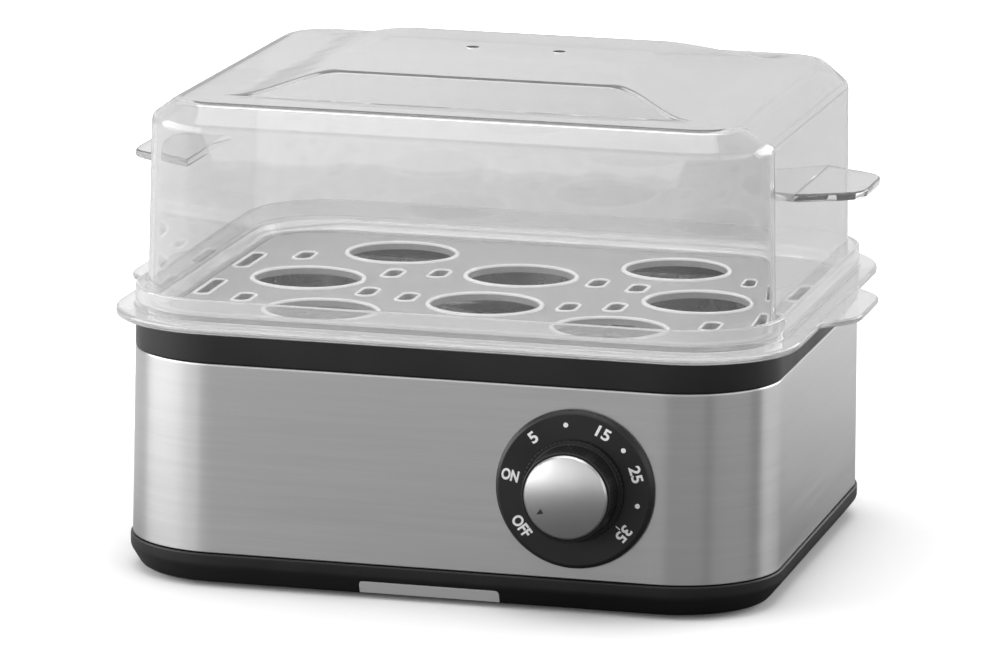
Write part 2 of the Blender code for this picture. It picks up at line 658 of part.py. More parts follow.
def make_sleeve(parent):
    """The brushed steel sleeve, with holes for the timer, its screws and the cord gland."""
    rings = [
        SLEEVE_FOOT.ring(SLEEVE_Z),
        SLEEVE_TOP.ring(SLEEVE_TOP_Z),
        SLEEVE_TOP.grown(-SLEEVE_SHEET).ring(SLEEVE_TOP_Z),
        SLEEVE_FOOT.grown(-SLEEVE_SHEET).ring(SLEEVE_Z),
    ]
    sleeve = add_object("steel_sleeve", loft("steel_sleeve", rings, closed=True), BRUSHED_STEEL, parent)
    near = PLATE_FRONT - CUT_OVERRUN
    far = DIAL_BACK + CUT_OVERRUN
    cuts = []
    for offset, radius in front_holes():
        hole = turned("hole", ((radius, near), (radius, far)), SMALL_STEPS)
        cuts.append(facing_front(hole, DIAL_X + offset, DIAL_Z))
    reach = GLAND_NECK_RADIUS + SEAT_GAP
    gland_hole = turned("gland_hole", ((reach, near), (reach, far)), SMALL_STEPS)
    cuts.append(facing_back(gland_hole, GLAND_X, GLAND_Z))
    combine(sleeve, "DIFFERENCE", [joined(cuts)])


def front_holes():
    """Offset from the dial's middle and radius of each hole behind the dial."""
    half = TIMER_SCREW_SPACING / 2
    clear = SCREW_RADIUS + SEAT_GAP
    return ((0, TIMER_NECK_RADIUS + SEAT_GAP), (half, clear), (-half, clear))


def make_collar(parent):
    """The black collar: a band over the sleeve, a skirt inside it, the pan's shelf and four bosses."""
    shelf_under = SHELF_Z - COLLAR_SHELF_THICKNESS
    skirt_foot = SLEEVE_TOP_Z - COLLAR_SKIRT
    rings = [
        SLEEVE_TOP.grown(-COLLAR_TOP_EDGE).ring(COLLAR_TOP_Z),
        SLEEVE_TOP.ring(COLLAR_TOP_Z - COLLAR_TOP_EDGE),
        SLEEVE_TOP.ring(COLLAR_Z),
        COLLAR_SKIRT_OUT.ring(COLLAR_Z),
        COLLAR_SKIRT_OUT.ring(skirt_foot),
        COLLAR_SKIRT_OUT.grown(-COLLAR_WALL).ring(skirt_foot),
        COLLAR_SKIRT_OUT.grown(-COLLAR_WALL).ring(shelf_under),
        SHELF_INSIDE.ring(shelf_under),
        SHELF_INSIDE.ring(SHELF_Z),
        TRAY_OPENING.ring(SHELF_Z),
        TRAY_OPENING.ring(COLLAR_TOP_Z),
    ]
    collar = add_object("top_collar", loft("top_collar", rings, closed=True), BLACK_PLASTIC, parent)
    boss_foot = PILLAR_TOP_Z + SEAT_GAP
    bosses = []
    bores = []
    for place in four_corners(PILLAR_X, PILLAR_Y):
        outside = ((BOSS_RADIUS, boss_foot), (BOSS_RADIUS, SHELF_Z - COLLAR_SHELF_THICKNESS / 2))
        bosses.append(turned("boss", outside, SMALL_STEPS, place))
        reach = SCREW_RADIUS + SEAT_GAP
        inside = ((reach, boss_foot - CUT_OVERRUN), (reach, SCREW_TOP_Z + SEAT_GAP))
        bores.append(turned("boss_bore", inside, SMALL_STEPS, place))
    combine(collar, "UNION", [joined(bosses)])
    combine(collar, "DIFFERENCE", [joined(bores)])


def make_gasket(parent):
    """The silicone ring between the collar's shelf and the pan's flange."""
    inner = SHELF_INSIDE.grown(SEAT_GAP)
    outer = inner.grown(GASKET_WIDTH)
    top = GASKET_Z + GASKET_THICKNESS
    rings = [outer.ring(GASKET_Z), outer.ring(top), inner.ring(top), inner.ring(GASKET_Z)]
    add_object("pan_gasket", loft("pan_gasket", rings, closed=True), SILICONE, parent)


def make_pan(parent):
    """The stainless water pan, with its flange and two welded studs below."""
    flange_top = PAN_FLANGE_Z + PAN_SHEET
    rings = [
        PAN_BOTTOM.ring(PAN_FLOOR_Z),
        PAN_TOP.ring(flange_top),
        PAN_FLANGE_EDGE.ring(flange_top),
        PAN_FLANGE_EDGE.ring(PAN_FLANGE_Z),
        PAN_TOP.grown(PAN_SHEET).ring(PAN_FLANGE_Z),
        PAN_BOTTOM.grown(PAN_SHEET).ring(PAN_UNDERSIDE_Z),
    ]
    pan = add_object("water_pan", loft("water_pan", rings), BRIGHT_STEEL, parent)
    profile = (
        (STUD_RADIUS, NUT_TOP_Z - STUD_BELOW_CLAMP),
        (STUD_RADIUS, PAN_UNDERSIDE_Z + PAN_SHEET / 2),
    )
    studs = [turned("stud", profile, SMALL_STEPS, place) for place in stud_places()]
    combine(pan, "UNION", [joined(studs)])


def stud_places():
    """Where the pan's studs stand."""
    return ((-STUD_SPACING / 2, 0), (STUD_SPACING / 2, 0))


def make_spreader(parent):
    """The aluminium plate that spreads the element's heat under the pan."""
    top = SPREADER_Z + SPREADER_THICKNESS
    disc = turned("heat_spreader", ((SPREADER_RADIUS, SPREADER_Z), (SPREADER_RADIUS, top)))
    spreader = add_object("heat_spreader", disc, ALUMINIUM, parent)
    reach = STUD_RADIUS + SEAT_GAP
    profile = ((reach, SPREADER_Z - CUT_OVERRUN), (reach, top + CUT_OVERRUN))
    holes = [turned("stud_hole", profile, SMALL_STEPS, place) for place in stud_places()]
    combine(spreader, "DIFFERENCE", [joined(holes)])


def make_element(parent):
    """The sheathed element: an open ring with two tails to the rear and a pin on each."""
    half_gap = ELEMENT_TAIL_SPACING / 2
    ring_end_y = (ELEMENT_RING_RADIUS ** 2 - half_gap ** 2) ** 0.5
    tail_end = ring_end_y + ELEMENT_TAIL_LENGTH
    opening = pi / 2 - Vector((half_gap, ring_end_y)).angle_signed(Vector((1, 0)))
    route = [(half_gap, tail_end), (half_gap, (tail_end + ring_end_y) / 2)]
    start = pi / 2 - opening
    sweep = -2 * (pi - opening)
    for step in range(RING_STEPS + 1):
        angle = start + sweep * step / RING_STEPS
        route.append((ELEMENT_RING_RADIUS * cos(angle), ELEMENT_RING_RADIUS * sin(angle)))
    route += [(-half_gap, (tail_end + ring_end_y) / 2), (-half_gap, tail_end)]
    tube = tube_mesh("heating_element", [(x, y, ELEMENT_Z) for x, y in route], ELEMENT_TUBE_RADIUS)
    element = add_object("heating_element", tube, BRIGHT_STEEL, parent)
    pins = []
    for sign in (-1, 1):
        profile = (
            (ELEMENT_PIN_RADIUS, tail_end - ELEMENT_TUBE_RADIUS),
            (ELEMENT_PIN_RADIUS, tail_end + ELEMENT_PIN_LENGTH),
        )
        pins.append(facing_back(turned("pin", profile, SMALL_STEPS), sign * half_gap, ELEMENT_Z))
    combine(element, "UNION", [joined(pins)])


def tube_mesh(name, route, radius, resolution=2):
    """A tube along a route, as a mesh."""
    curve = bpy.data.curves.new(name, "CURVE")
    curve.dimensions = "3D"
    curve.bevel_depth = radius
    curve.bevel_resolution = resolution
    curve.use_fill_caps = True
    spline = curve.splines.new("POLY")
    spline.points.add(len(route) - 1)
    for point, place in zip(spline.points, route):
        point.co = (*place, 1)
    holder = bpy.data.objects.new(f"{name}_curve", curve)
    bpy.context.scene.collection.objects.link(holder)
    bpy.context.view_layer.update()
    evaluated = holder.evaluated_get(bpy.context.evaluated_depsgraph_get())
    mesh = bpy.data.meshes.new_from_object(evaluated)
    bpy.data.objects.remove(holder, do_unlink=True)
    bm = bmesh.new()
    bm.from_mesh(mesh)
    bmesh.ops.remove_doubles(bm, verts=bm.verts, dist=radius / 1000)
    return mesh_from(name, bm)


def make_clamp(parent):
    """The T-shaped clamp under the element, with a leg under the fuse."""
    half_length = CLAMP_LENGTH / 2
    half_width = CLAMP_WIDTH / 2
    points = (
        (-half_length, half_width), (-half_length, -half_width),
        (-half_width, -half_width), (-half_width, -CLAMP_LEG),
        (half_width, -CLAMP_LEG), (half_width, -half_width),
        (half_length, -half_width), (half_length, half_width),
    )
    clamp = add_object("element_clamp", prism("element_clamp", points, CLAMP_Z, CLAMP_TOP_Z),
                       PLATED_STEEL, parent)
    reach = STUD_RADIUS + SEAT_GAP
    profile = ((reach, CLAMP_Z - CUT_OVERRUN), (reach, CLAMP_TOP_Z + CUT_OVERRUN))
    holes = [turned("stud_hole", profile, SMALL_STEPS, place) for place in stud_places()]
    combine(clamp, "DIFFERENCE", [joined(holes)])


def make_clamp_nuts(parent):
    """The two nuts that hold the clamp on the pan's studs."""
    inside = (STUD_RADIUS + SEAT_GAP) / cos(pi / NUT_SIDES)
    for side, place in zip(("left", "right"), stud_places()):
        rings = [
            circle(NUT_RADIUS, NUT_TOP_Z - NUT_HEIGHT, NUT_SIDES, place),
            circle(NUT_RADIUS, NUT_TOP_Z, NUT_SIDES, place),
            circle(inside, NUT_TOP_Z, NUT_SIDES, place),
            circle(inside, NUT_TOP_Z - NUT_HEIGHT, NUT_SIDES, place),
        ]
        name = f"clamp_nut_{side}"
        add_object(name, loft(name, rings, closed=True), PLATED_STEEL, parent, smooth=False)


def make_thermostat(parent):
    """The disc thermostat between the clamp and the spreader, with a blade at each side."""
    low = CLAMP_TOP_Z + SEAT_GAP
    high = SPREADER_Z - SEAT_GAP
    body = turned("thermostat", ((THERMOSTAT_RADIUS, low), (THERMOSTAT_RADIUS, high)))
    thermostat = add_object("thermostat", body, WHITE_CERAMIC, parent)
    middle = (low + high) / 2
    reach = THERMOSTAT_RADIUS + THERMOSTAT_BLADE_LENGTH
    half_width = THERMOSTAT_BLADE_WIDTH / 2
    half_sheet = THERMOSTAT_BLADE_SHEET / 2
    blade = box("blade", (-half_width, THERMOSTAT_RADIUS / 2, middle - half_sheet),
                (half_width, reach, middle + half_sheet))
    combine(thermostat, "UNION", [blade])


def make_fuse(parent):
    """The thermal fuse in its sleeve, lying across the clamp's leg."""
    profile = ((ELEMENT_TUBE_RADIUS, -FUSE_LENGTH / 2), (ELEMENT_TUBE_RADIUS, FUSE_LENGTH / 2))
    fuse = turned("thermal_fuse", profile, SMALL_STEPS)
    turn = Matrix.Rotation(pi / 2, 4, "Y")
    fuse.transform(Matrix.Translation((0, -FUSE_OFFSET, ELEMENT_Z)) @ turn)
    add_object("thermal_fuse", fuse, LEAD_WHITE, parent)


def make_timer_plate(parent):
    """The steel plate that stiffens the front panel behind the dial."""
    half = TIMER_PLATE_WIDTH / 2
    square = [(-half, -half), (half, -half), (half, half), (-half, half)]
    mesh = facing_front(prism("timer_plate", square, PLATE_BACK, PLATE_FRONT), DIAL_X, DIAL_Z)
    plate = add_object("timer_plate", mesh, PLATED_STEEL, parent)
    cuts = []
    for offset, radius in front_holes():
        profile = ((radius, PLATE_BACK - CUT_OVERRUN), (radius, PLATE_FRONT + CUT_OVERRUN))
        hole = turned("hole", profile, SMALL_STEPS)
        cuts.append(facing_front(hole, DIAL_X + offset, DIAL_Z))
    combine(plate, "DIFFERENCE", [joined(cuts)])


def make_timer(parent):
    """The clockwork timer's case, with the neck that goes through the panel."""
    outline = Outline(TIMER_WIDTH / 2, TIMER_WIDTH / 2, TIMER_CORNER)
    rings = [outline.ring(TIMER_BACK), outline.ring(TIMER_FRONT)]
    case = add_object("timer_case", facing_front(loft("timer_case", rings), DIAL_X, DIAL_Z),
                      PLATED_STEEL, parent)
    neck_end = DIAL_BACK - SEAT_GAP
    neck_profile = ((TIMER_NECK_RADIUS, TIMER_FRONT - CUT_OVERRUN), (TIMER_NECK_RADIUS, neck_end))
    neck = turned("neck", neck_profile, SMALL_STEPS)
    combine(case, "UNION", [facing_front(neck, DIAL_X, DIAL_Z)])
    reach = SHAFT_RADIUS + SEAT_GAP
    shaft_floor = TIMER_FRONT - SHAFT_IN_TIMER - SEAT_GAP
    cuts = [turned("shaft_bore", ((reach, shaft_floor), (reach, DIAL_BACK + CUT_OVERRUN)), SMALL_STEPS)]
    cuts[0] = facing_front(cuts[0], DIAL_X, DIAL_Z)
    for offset, radius in front_holes()[1:]:
        screw_floor = TIMER_FRONT - TIMER_SCREW_DEPTH - SEAT_GAP
        profile = ((radius, screw_floor), (radius, TIMER_FRONT + CUT_OVERRUN))
        hole = turned("screw_bore", profile, SMALL_STEPS)
        cuts.append(facing_front(hole, DIAL_X + offset, DIAL_Z))
    combine(case, "DIFFERENCE", [joined(cuts)])


def make_timer_screws(parent):
    """Two screws through the panel into the timer, with their heads under the dial plate."""
    head_back = DIAL_BACK
    profile = (
        (SCREW_RADIUS, TIMER_FRONT - TIMER_SCREW_DEPTH),
        (SCREW_RADIUS, head_back),
        (SCREW_HEAD_RADIUS, head_back),
        (SCREW_HEAD_RADIUS, head_back + TIMER_SCREW_HEAD_HEIGHT),
    )
    for side, (offset, _) in zip(("right", "left"), front_holes()[1:]):
        name = f"timer_screw_{side}"
        screw = facing_front(turned(name, profile, SMALL_STEPS), DIAL_X + offset, DIAL_Z)
        add_object(name, screw, PLATED_STEEL, parent)


def make_bell(parent):
    """The timer's bell: a cup on a post behind the case."""
    crown = TIMER_BACK - SEAT_GAP
    mouth = crown - BELL_DEPTH
    post = BELL_POST_RADIUS
    cup_top = crown - BELL_SHEET - RUN_GAP
    profile = (
        (post, crown),
        (post, cup_top),
        (BELL_RADIUS - BELL_SHEET, cup_top),
        (BELL_RADIUS, cup_top - BELL_SHEET),
        (BELL_RADIUS, mouth),
        (BELL_RADIUS - BELL_SHEET, mouth),
        (BELL_RADIUS - BELL_SHEET, cup_top - BELL_SHEET),
    )
    mesh = facing_front(turned("timer_bell", profile), DIAL_X, DIAL_Z)
    add_object("timer_bell", mesh, BRIGHT_STEEL, parent)


def make_dial(parent):
    """The round dial plate, bevelled at its edge, with pockets for the screw heads."""
    reach = SHAFT_RADIUS + RUN_GAP
    profile = (
        (reach, DIAL_BACK),
        (DIAL_RADIUS, DIAL_BACK),
        (DIAL_RADIUS, DIAL_FACE - DIAL_BEVEL),
        (DIAL_RADIUS - DIAL_BEVEL, DIAL_FACE),
        (reach, DIAL_FACE),
    )
    mesh = facing_front(turned_ring("dial_plate", profile, DIAL_STEPS), DIAL_X, DIAL_Z)
    dial = add_object("dial_plate", mesh, DARK_PRINT, parent)
    pockets = []
    for offset, _ in front_holes()[1:]:
        radius = SCREW_HEAD_RADIUS + SEAT_GAP
        profile = ((radius, DIAL_BACK - CUT_OVERRUN), (radius, DIAL_BACK + DIAL_POCKET_DEPTH))
        pocket = turned("pocket", profile, SMALL_STEPS)
        pockets.append(facing_front(pocket, DIAL_X + offset, DIAL_Z))
    combine(dial, "DIFFERENCE", [joined(pockets)])


def make_shaft(axis):
    """The timer's shaft, with a flat where the knob grips it. Its origin is on the joint's axis."""
    back = TIMER_FRONT - SHAFT_IN_TIMER
    front = KNOB_BACK + SHAFT_IN_KNOB
    flat_start = KNOB_BACK - RUN_GAP
    rings = [
        circle(SHAFT_RADIUS, back, SMALL_STEPS),
        circle(SHAFT_RADIUS, flat_start - SHAFT_STEP, SMALL_STEPS),
        circle(SHAFT_RADIUS, flat_start, SMALL_STEPS, flat=SHAFT_FLAT),
        circle(SHAFT_RADIUS, front, SMALL_STEPS, flat=SHAFT_FLAT),
    ]
    mesh = facing_front(loft("timer_shaft", rings), 0, 0)
    add_object("timer_shaft", mesh, PLATED_STEEL, axis)


def make_knob_skirt(axis):
    """The ridged black knob: hollow behind, with a hub on the shaft and a recess for its cap."""
    steps = 2 * KNOB_RIDGES
    bore = SHAFT_RADIUS + SEAT_GAP
    hub = bore + KNOB_HUB_WALL
    foot_front = KNOB_BACK + KNOB_FOOT_HEIGHT
    hollow_floor = KNOB_BACK + KNOB_HOLLOW_DEPTH
    recess_floor = KNOB_FRONT + CAP_PROUD - CAP_THICKNESS - SEAT_GAP
    recess = CAP_RADIUS + SEAT_GAP
    bore_floor = KNOB_BACK + SHAFT_IN_KNOB + SEAT_GAP
    back_inside = KNOB_BACK_RADIUS - KNOB_KNURL - KNOB_WALL
    floor_inside = KNOB_FRONT_RADIUS - KNOB_WALL
    rings = [
        circle(recess, recess_floor, steps),
        circle(recess, KNOB_FRONT, steps),
        circle(KNOB_FRONT_RADIUS, KNOB_FRONT, steps),
        circle(KNOB_BACK_RADIUS - KNOB_KNURL, foot_front, steps, ridge=KNOB_KNURL),
        circle(KNOB_FOOT_RADIUS, foot_front, steps),
        circle(KNOB_FOOT_RADIUS, KNOB_BACK, steps),
        circle(back_inside, KNOB_BACK, steps),
        circle(floor_inside, hollow_floor, steps),
        circle(hub, hollow_floor, steps),
        circle(hub, KNOB_BACK, steps),
        circle(bore, KNOB_BACK, steps, flat=SHAFT_FLAT + SEAT_GAP),
        circle(bore, bore_floor, steps, flat=SHAFT_FLAT + SEAT_GAP),
    ]
    mesh = facing_front(loft("knob_skirt", rings), 0, 0)
    add_object("knob_skirt", mesh, BLACK_PLASTIC, axis)


def make_knob_cap(axis):
    """The satin metal cap on the knob's front."""
    back = KNOB_FRONT + CAP_PROUD - CAP_THICKNESS
    edge = KNOB_FRONT + CAP_PROUD
    profile = (
        (CAP_RADIUS, back),
        (CAP_RADIUS, edge - CAP_BEVEL),
        (CAP_RADIUS - CAP_BEVEL, edge),
        (CAP_RADIUS / 2, edge + CAP_DOME * 3 / 4),
        (CAP_RADIUS / 4, edge + CAP_DOME),
    )
    mesh = facing_front(turned("knob_cap", profile), 0, 0)
    add_object("knob_cap", mesh, ALUMINIUM, axis)


def make_knob_clip(axis):
    """The steel spring clip round the knob's hub."""
    inner = SHAFT_RADIUS + SEAT_GAP + KNOB_HUB_WALL + SEAT_GAP
    outer = inner + CLIP_SHEET
    sweep = 2 * pi * (1 - CLIP_OPENING_SHARE)
    outside = []
    inside = []
    for step in range(SMALL_STEPS + 1):
        angle = sweep * (step / SMALL_STEPS - 1 / 2)
        outside.append((outer * cos(angle), outer * sin(angle)))
        inside.append((inner * cos(angle), inner * sin(angle)))
    start = KNOB_BACK + RUN_GAP
    mesh = prism("knob_clip", outside + inside[::-1], start, start + CLIP_HEIGHT)
    add_object("knob_clip", facing_front(mesh, 0, 0), PLATED_STEEL, axis)


def make_gland(parent):
    """The snap-in bush in the rear of the sleeve that the cord would pass through."""
    outer_face = SLEEVE_FOOT.half_depth + SEAT_GAP
    inner_face = SLEEVE_TOP.half_depth - SLEEVE_SHEET - SEAT_GAP
    profile = (
        (GLAND_BORE_RADIUS, outer_face + GLAND_FLANGE),
        (GLAND_FLANGE_RADIUS, outer_face + GLAND_FLANGE),
        (GLAND_FLANGE_RADIUS, outer_face),
        (GLAND_NECK_RADIUS, outer_face),
        (GLAND_NECK_RADIUS, inner_face),
        (GLAND_FLANGE_RADIUS, inner_face),
        (GLAND_FLANGE_RADIUS, inner_face - GLAND_INNER_LIP),
        (GLAND_BORE_RADIUS, inner_face - GLAND_INNER_LIP),
    )
    mesh = facing_back(turned_ring("cord_gland", profile, SMALL_STEPS), GLAND_X, GLAND_Z)
    add_object("cord_gland", mesh, RUBBER, parent)


def block_screw_places():
    """Where the terminal block's screws sit."""
    pitch = BLOCK_LENGTH / BLOCK_WAYS
    first = BLOCK_X - pitch * (BLOCK_WAYS - 1) / 2
    return [(first + pitch * index, BLOCK_Y) for index in range(BLOCK_WAYS)]


def make_block(parent):
    """The ceramic terminal block on the base's floor, with a screw for each way."""
    low = (BLOCK_X - BLOCK_LENGTH / 2, BLOCK_Y - BLOCK_WIDTH / 2)
    high = (BLOCK_X + BLOCK_LENGTH / 2, BLOCK_Y + BLOCK_WIDTH / 2)
    outline = [
        (low[1], BLOCK_Z), (high[1], BLOCK_Z), (high[1], BLOCK_TOP_Z - BLOCK_EDGE),
        (high[1] - BLOCK_EDGE, BLOCK_TOP_Z), (low[1] + BLOCK_EDGE, BLOCK_TOP_Z),
        (low[1], BLOCK_TOP_Z - BLOCK_EDGE),
    ]
    rings = [[(x, y, z) for y, z in outline] for x in (low[0], high[0])]
    block = add_object("terminal_block", loft("terminal_block", rings), WHITE_CERAMIC, parent)
    reach = BLOCK_SCREW_RADIUS + SEAT_GAP
    seat = BLOCK_TOP_Z - BLOCK_SCREW_HEIGHT
    profile = ((reach, seat - SEAT_GAP), (reach, BLOCK_TOP_Z + CUT_OVERRUN))
    holes = [turned("hole", profile, SMALL_STEPS, place) for place in block_screw_places()]
    combine(block, "DIFFERENCE", [joined(holes)])
    screw = ((BLOCK_SCREW_RADIUS, seat), (BLOCK_SCREW_RADIUS, BLOCK_TOP_Z))
    for number, place in enumerate(block_screw_places(), 1):
        name = f"terminal_screw_{number}"
        add_object(name, turned(name, screw, SMALL_STEPS, place), BRASS, parent)


def make_leads(parent):
    """Three leads: block to timer, timer to element, element to block."""
    front_face = BLOCK_Y - BLOCK_WIDTH / 2 - SEAT_GAP
    block_z = BLOCK_Z + BLOCK_HEIGHT / 3
    timer_side = DIAL_X - TIMER_WIDTH / 2 - SEAT_GAP
    timer_y = -(TIMER_FRONT + TIMER_BACK) / 2
    ways = block_screw_places()
    tail_x = ELEMENT_TAIL_SPACING / 2
    ring_end_y = (ELEMENT_RING_RADIUS ** 2 - tail_x ** 2) ** 0.5
    pin_end = ring_end_y + ELEMENT_TAIL_LENGTH + ELEMENT_PIN_LENGTH + SEAT_GAP
    low_z = FLOOR_TOP + LEAD_ABOVE_FLOOR
    bend = LEAD_BEND_SPACE
    rear_pin = (pin_end, ELEMENT_Z)
    live_x = ways[0][0]
    neutral_x = ways[-1][0]
    forward = (0, -1, 0)
    backward = (0, 1, 0)
    leftward = (-1, 0, 0)
    slack_z = CLAMP_Z - bend
    routes = {
        "lead_live": (
            LEAD_RED, straight_end((live_x, front_face, block_z), forward),
            [(live_x, front_face - 3 * bend, low_z), (live_x, timer_y + 2 * bend, low_z),
             (live_x + bend, timer_y, low_z + bend / 2)],
            straight_end((timer_side, timer_y, DIAL_Z - bend), leftward),
        ),
        "lead_switched": (
            LEAD_WHITE, straight_end((timer_side, timer_y, DIAL_Z), leftward),
            [(timer_side - 2 * bend, timer_y + 2 * bend, slack_z), (timer_side - 2 * bend, 0, slack_z),
             (tail_x + bend, pin_end, slack_z)],
            straight_end((tail_x, *rear_pin), backward),
        ),
        "lead_neutral": (
            LEAD_BLUE, straight_end((-tail_x, *rear_pin), backward),
            [(-tail_x - 2 * bend, pin_end, ELEMENT_Z - bend),
             (neutral_x, front_face - 2 * bend, ELEMENT_Z - 3 * bend)],
            straight_end((neutral_x, front_face, block_z), forward),
        ),
    }
    for name, (finish, start, middle, end) in routes.items():
        mesh = tube_mesh(name, smooth_route(start + middle + end[::-1]), LEAD_RADIUS)
        add_object(name, mesh, finish, parent)


def straight_end(place, direction):
    """Three route points that leave a terminal square to it."""
    start = Vector(place)
    half_bend = Vector(direction) * LEAD_BEND_SPACE / 2
    return [start, start + half_bend, start + 2 * half_bend]


def smooth_route(corners, steps=3):
    """A smooth curve through route points, as a list of closely spaced points."""
    places = [Vector(corner) for corner in corners]
    padded = [2 * places[0] - places[1]] + places + [2 * places[-1] - places[-2]]
    points = []
    for index in range(len(places) - 1):
        before, start, end, after = padded[index:index + 4]
        for step in range(steps):
            share = step / steps
            points.append(0.5 * (2 * start + (end - before) * share
                                 + (2 * before - 5 * start + 4 * end - after) * share ** 2
                                 + (3 * start - before - 3 * end + after) * share ** 3))
    return points + [places[-1]]


def handle_points(root_x, tip_x, root_width, tip_width, corner):
    """A tapering handle seen from above, reaching to +X, with cut tip corners."""
    half_root = root_width / 2
    half_tip = tip_width / 2
    return [
        (root_x, -half_root), (tip_x - corner, -half_tip - corner / 2), (tip_x, -half_tip + corner / 2),
        (tip_x, half_tip - corner / 2), (tip_x - corner, half_tip + corner / 2), (root_x, half_root),
    ]


def handle_pair(points, bottom, top):
    """A handle at +X and its mirror image at -X."""
    mirrored = [(-x, y) for x, y in points]
    return joined([prism("handle", points, bottom, top), prism("handle", mirrored, bottom, top)])


def make_tray(parent):
    """The clear tray: flange, rim, the lid's ledge, a shallow well and the rack's lip."""
    flange_top = TRAY_Z + FLANGE_THICKNESS
    rim_top = TRAY_Z + RIM_HEIGHT
    well_foot = TRAY_Z - WELL_DEPTH
    rings = [
        FLANGE.grown(-FLANGE_EDGE).ring(TRAY_Z),
        FLANGE.ring(TRAY_Z + FLANGE_EDGE),
        FLANGE.ring(flange_top - FLANGE_EDGE),
        FLANGE.grown(-FLANGE_EDGE).ring(flange_top),
        RIM.ring(flange_top),
        RIM.ring(rim_top - RIM_WALL / 3),
        RIM.grown(-RIM_WALL / 3).ring(rim_top),
        RIM.grown(-2 * RIM_WALL / 3).ring(rim_top),
        RIM_INSIDE.ring(rim_top - RIM_WALL / 3),
        RIM_INSIDE.ring(LEDGE_Z),
        LEDGE_INSIDE.ring(LEDGE_Z),
        WELL_FOOT_INSIDE.ring(LIP_TOP_Z),
        LIP_INSIDE.ring(LIP_TOP_Z),
        LIP_INSIDE.ring(well_foot),
        WELL_FOOT_OUTSIDE.ring(well_foot),
        WELL_TOP_OUTSIDE.ring(TRAY_Z),
    ]
    tray = add_object("steam_tray", loft("steam_tray", rings, closed=True), CLEAR_PLASTIC, parent)
    root = FLANGE.half_width - HANDLE_ROOT_OVERLAP
    tip = FLANGE.half_width + TRAY_HANDLE_REACH
    points = handle_points(root, tip, TRAY_HANDLE_ROOT, TRAY_HANDLE_TIP, TRAY_HANDLE_CORNER)
    handles = handle_pair(points, TRAY_Z + TRAY_HANDLE_TOP_STEP, flange_top - TRAY_HANDLE_TOP_STEP)
    combine(tray, "UNION", [handles])


def egg_places():
    """Centres of the egg holes."""
    places = four_corners(CORNER_EGG_X, CORNER_EGG_Y)
    places += [(SIDE_EGG_X, 0), (-SIDE_EGG_X, 0), (0, MIDDLE_EGG_Y), (0, -MIDDLE_EGG_Y)]
    return places


def make_rack(parent):
    """The egg rack: a plate with rimmed egg holes and steam slots."""
    rings = [
        RACK.grown(-RACK_EDGE).ring(RACK_Z),
        RACK.ring(RACK_Z + RACK_EDGE),
        RACK.ring(RACK_TOP_Z - RACK_EDGE),
        RACK.grown(-RACK_EDGE).ring(RACK_TOP_Z),
    ]
    rack = add_object("egg_rack", loft("egg_rack", rings), GREY_PLASTIC, parent)
    outer = EGG_HOLE_RADIUS + EGG_RIM_WIDTH
    rim_top = RACK_TOP_Z + EGG_RIM_HEIGHT
    middle = (RACK_Z + RACK_TOP_Z) / 2
    collar = (
        (outer, middle),
        (outer, RACK_TOP_Z + EGG_RIM_HEIGHT / 2),
        (outer - EGG_RIM_WIDTH / 3, rim_top),
    )
    rims = [turned("rim", collar, EGG_HOLE_STEPS, place) for place in egg_places()]
    combine(rack, "UNION", [joined(rims)])
    low = RACK_Z - CUT_OVERRUN
    high = rim_top + CUT_OVERRUN
    hole = ((EGG_HOLE_RADIUS, low), (EGG_HOLE_RADIUS, high))
    cuts = [turned("egg_hole", hole, EGG_HOLE_STEPS, place) for place in egg_places()]
    short = four_corners(OUTER_SLOT_X, OUTER_SLOT_Y)
    short += four_corners(INNER_SLOT_X, INNER_SLOT_Y)
    short += four_corners(CENTRE_SLOT_X, CENTRE_SLOT_Y)
    for place in short:
        cuts.append(prism("slot", slot_points(place, SLOT_WIDTH, SLOT_LENGTH), low, high))
    for place in four_corners(LONG_SLOT_X, LONG_SLOT_Y):
        cuts.append(prism("slot", slot_points(place, LONG_SLOT_WIDTH, LONG_SLOT_LENGTH), low, high))
    combine(rack, "DIFFERENCE", [joined(cuts)])


def make_lid(parent):
    """The clear lid: drafted walls, a chamfered shoulder, a raised crown, vents and two handles."""
    wall = LID_WALL
    rings = [
        CROWN_TOP.ring(CROWN_TOP_Z),
        CROWN_FOOT.ring(CROWN_FOOT_Z),
        LID_CREST.ring(LID_CREST_Z),
        LID_SHOULDER.ring(LID_SHOULDER_Z),
        LID_FOOT.ring(LID_Z),
        LID_FOOT.grown(-wall).ring(LID_Z),
        LID_SHOULDER.grown(-wall).ring(LID_SHOULDER_Z - wall / 2),
        LID_CREST.grown(-wall / 2).ring(LID_CREST_Z - wall),
        CROWN_FOOT.ring(CROWN_FOOT_Z - wall),
        CROWN_TOP.ring(CROWN_TOP_Z - wall),
    ]
    lid = add_object("clear_lid", loft("clear_lid", rings), CLEAR_PLASTIC, parent)
    share = LID_HANDLE_HEIGHT / LID_WALL_HEIGHT
    wall_x = LID_FOOT.half_width - LID_SIDE_DRAFT * share
    root = wall_x - wall / 2
    tip = wall_x + LID_HANDLE_REACH
    points = handle_points(root, tip, LID_HANDLE_ROOT, LID_HANDLE_TIP, LID_HANDLE_CORNER)
    top = LID_Z + LID_HANDLE_HEIGHT
    combine(lid, "UNION", [handle_pair(points, top - LID_HANDLE_THICKNESS, top)])
    low = CROWN_TOP_Z - wall - CUT_OVERRUN
    profile = ((VENT_HOLE_RADIUS, low), (VENT_HOLE_RADIUS, CROWN_TOP_Z + CUT_OVERRUN))
    places = ((VENT_HOLE_X, VENT_HOLE_Y), (-VENT_HOLE_X, VENT_HOLE_Y))
    vents = [turned("vent", profile, SMALL_STEPS, place) for place in places]
    combine(lid, "DIFFERENCE", [joined(vents)])


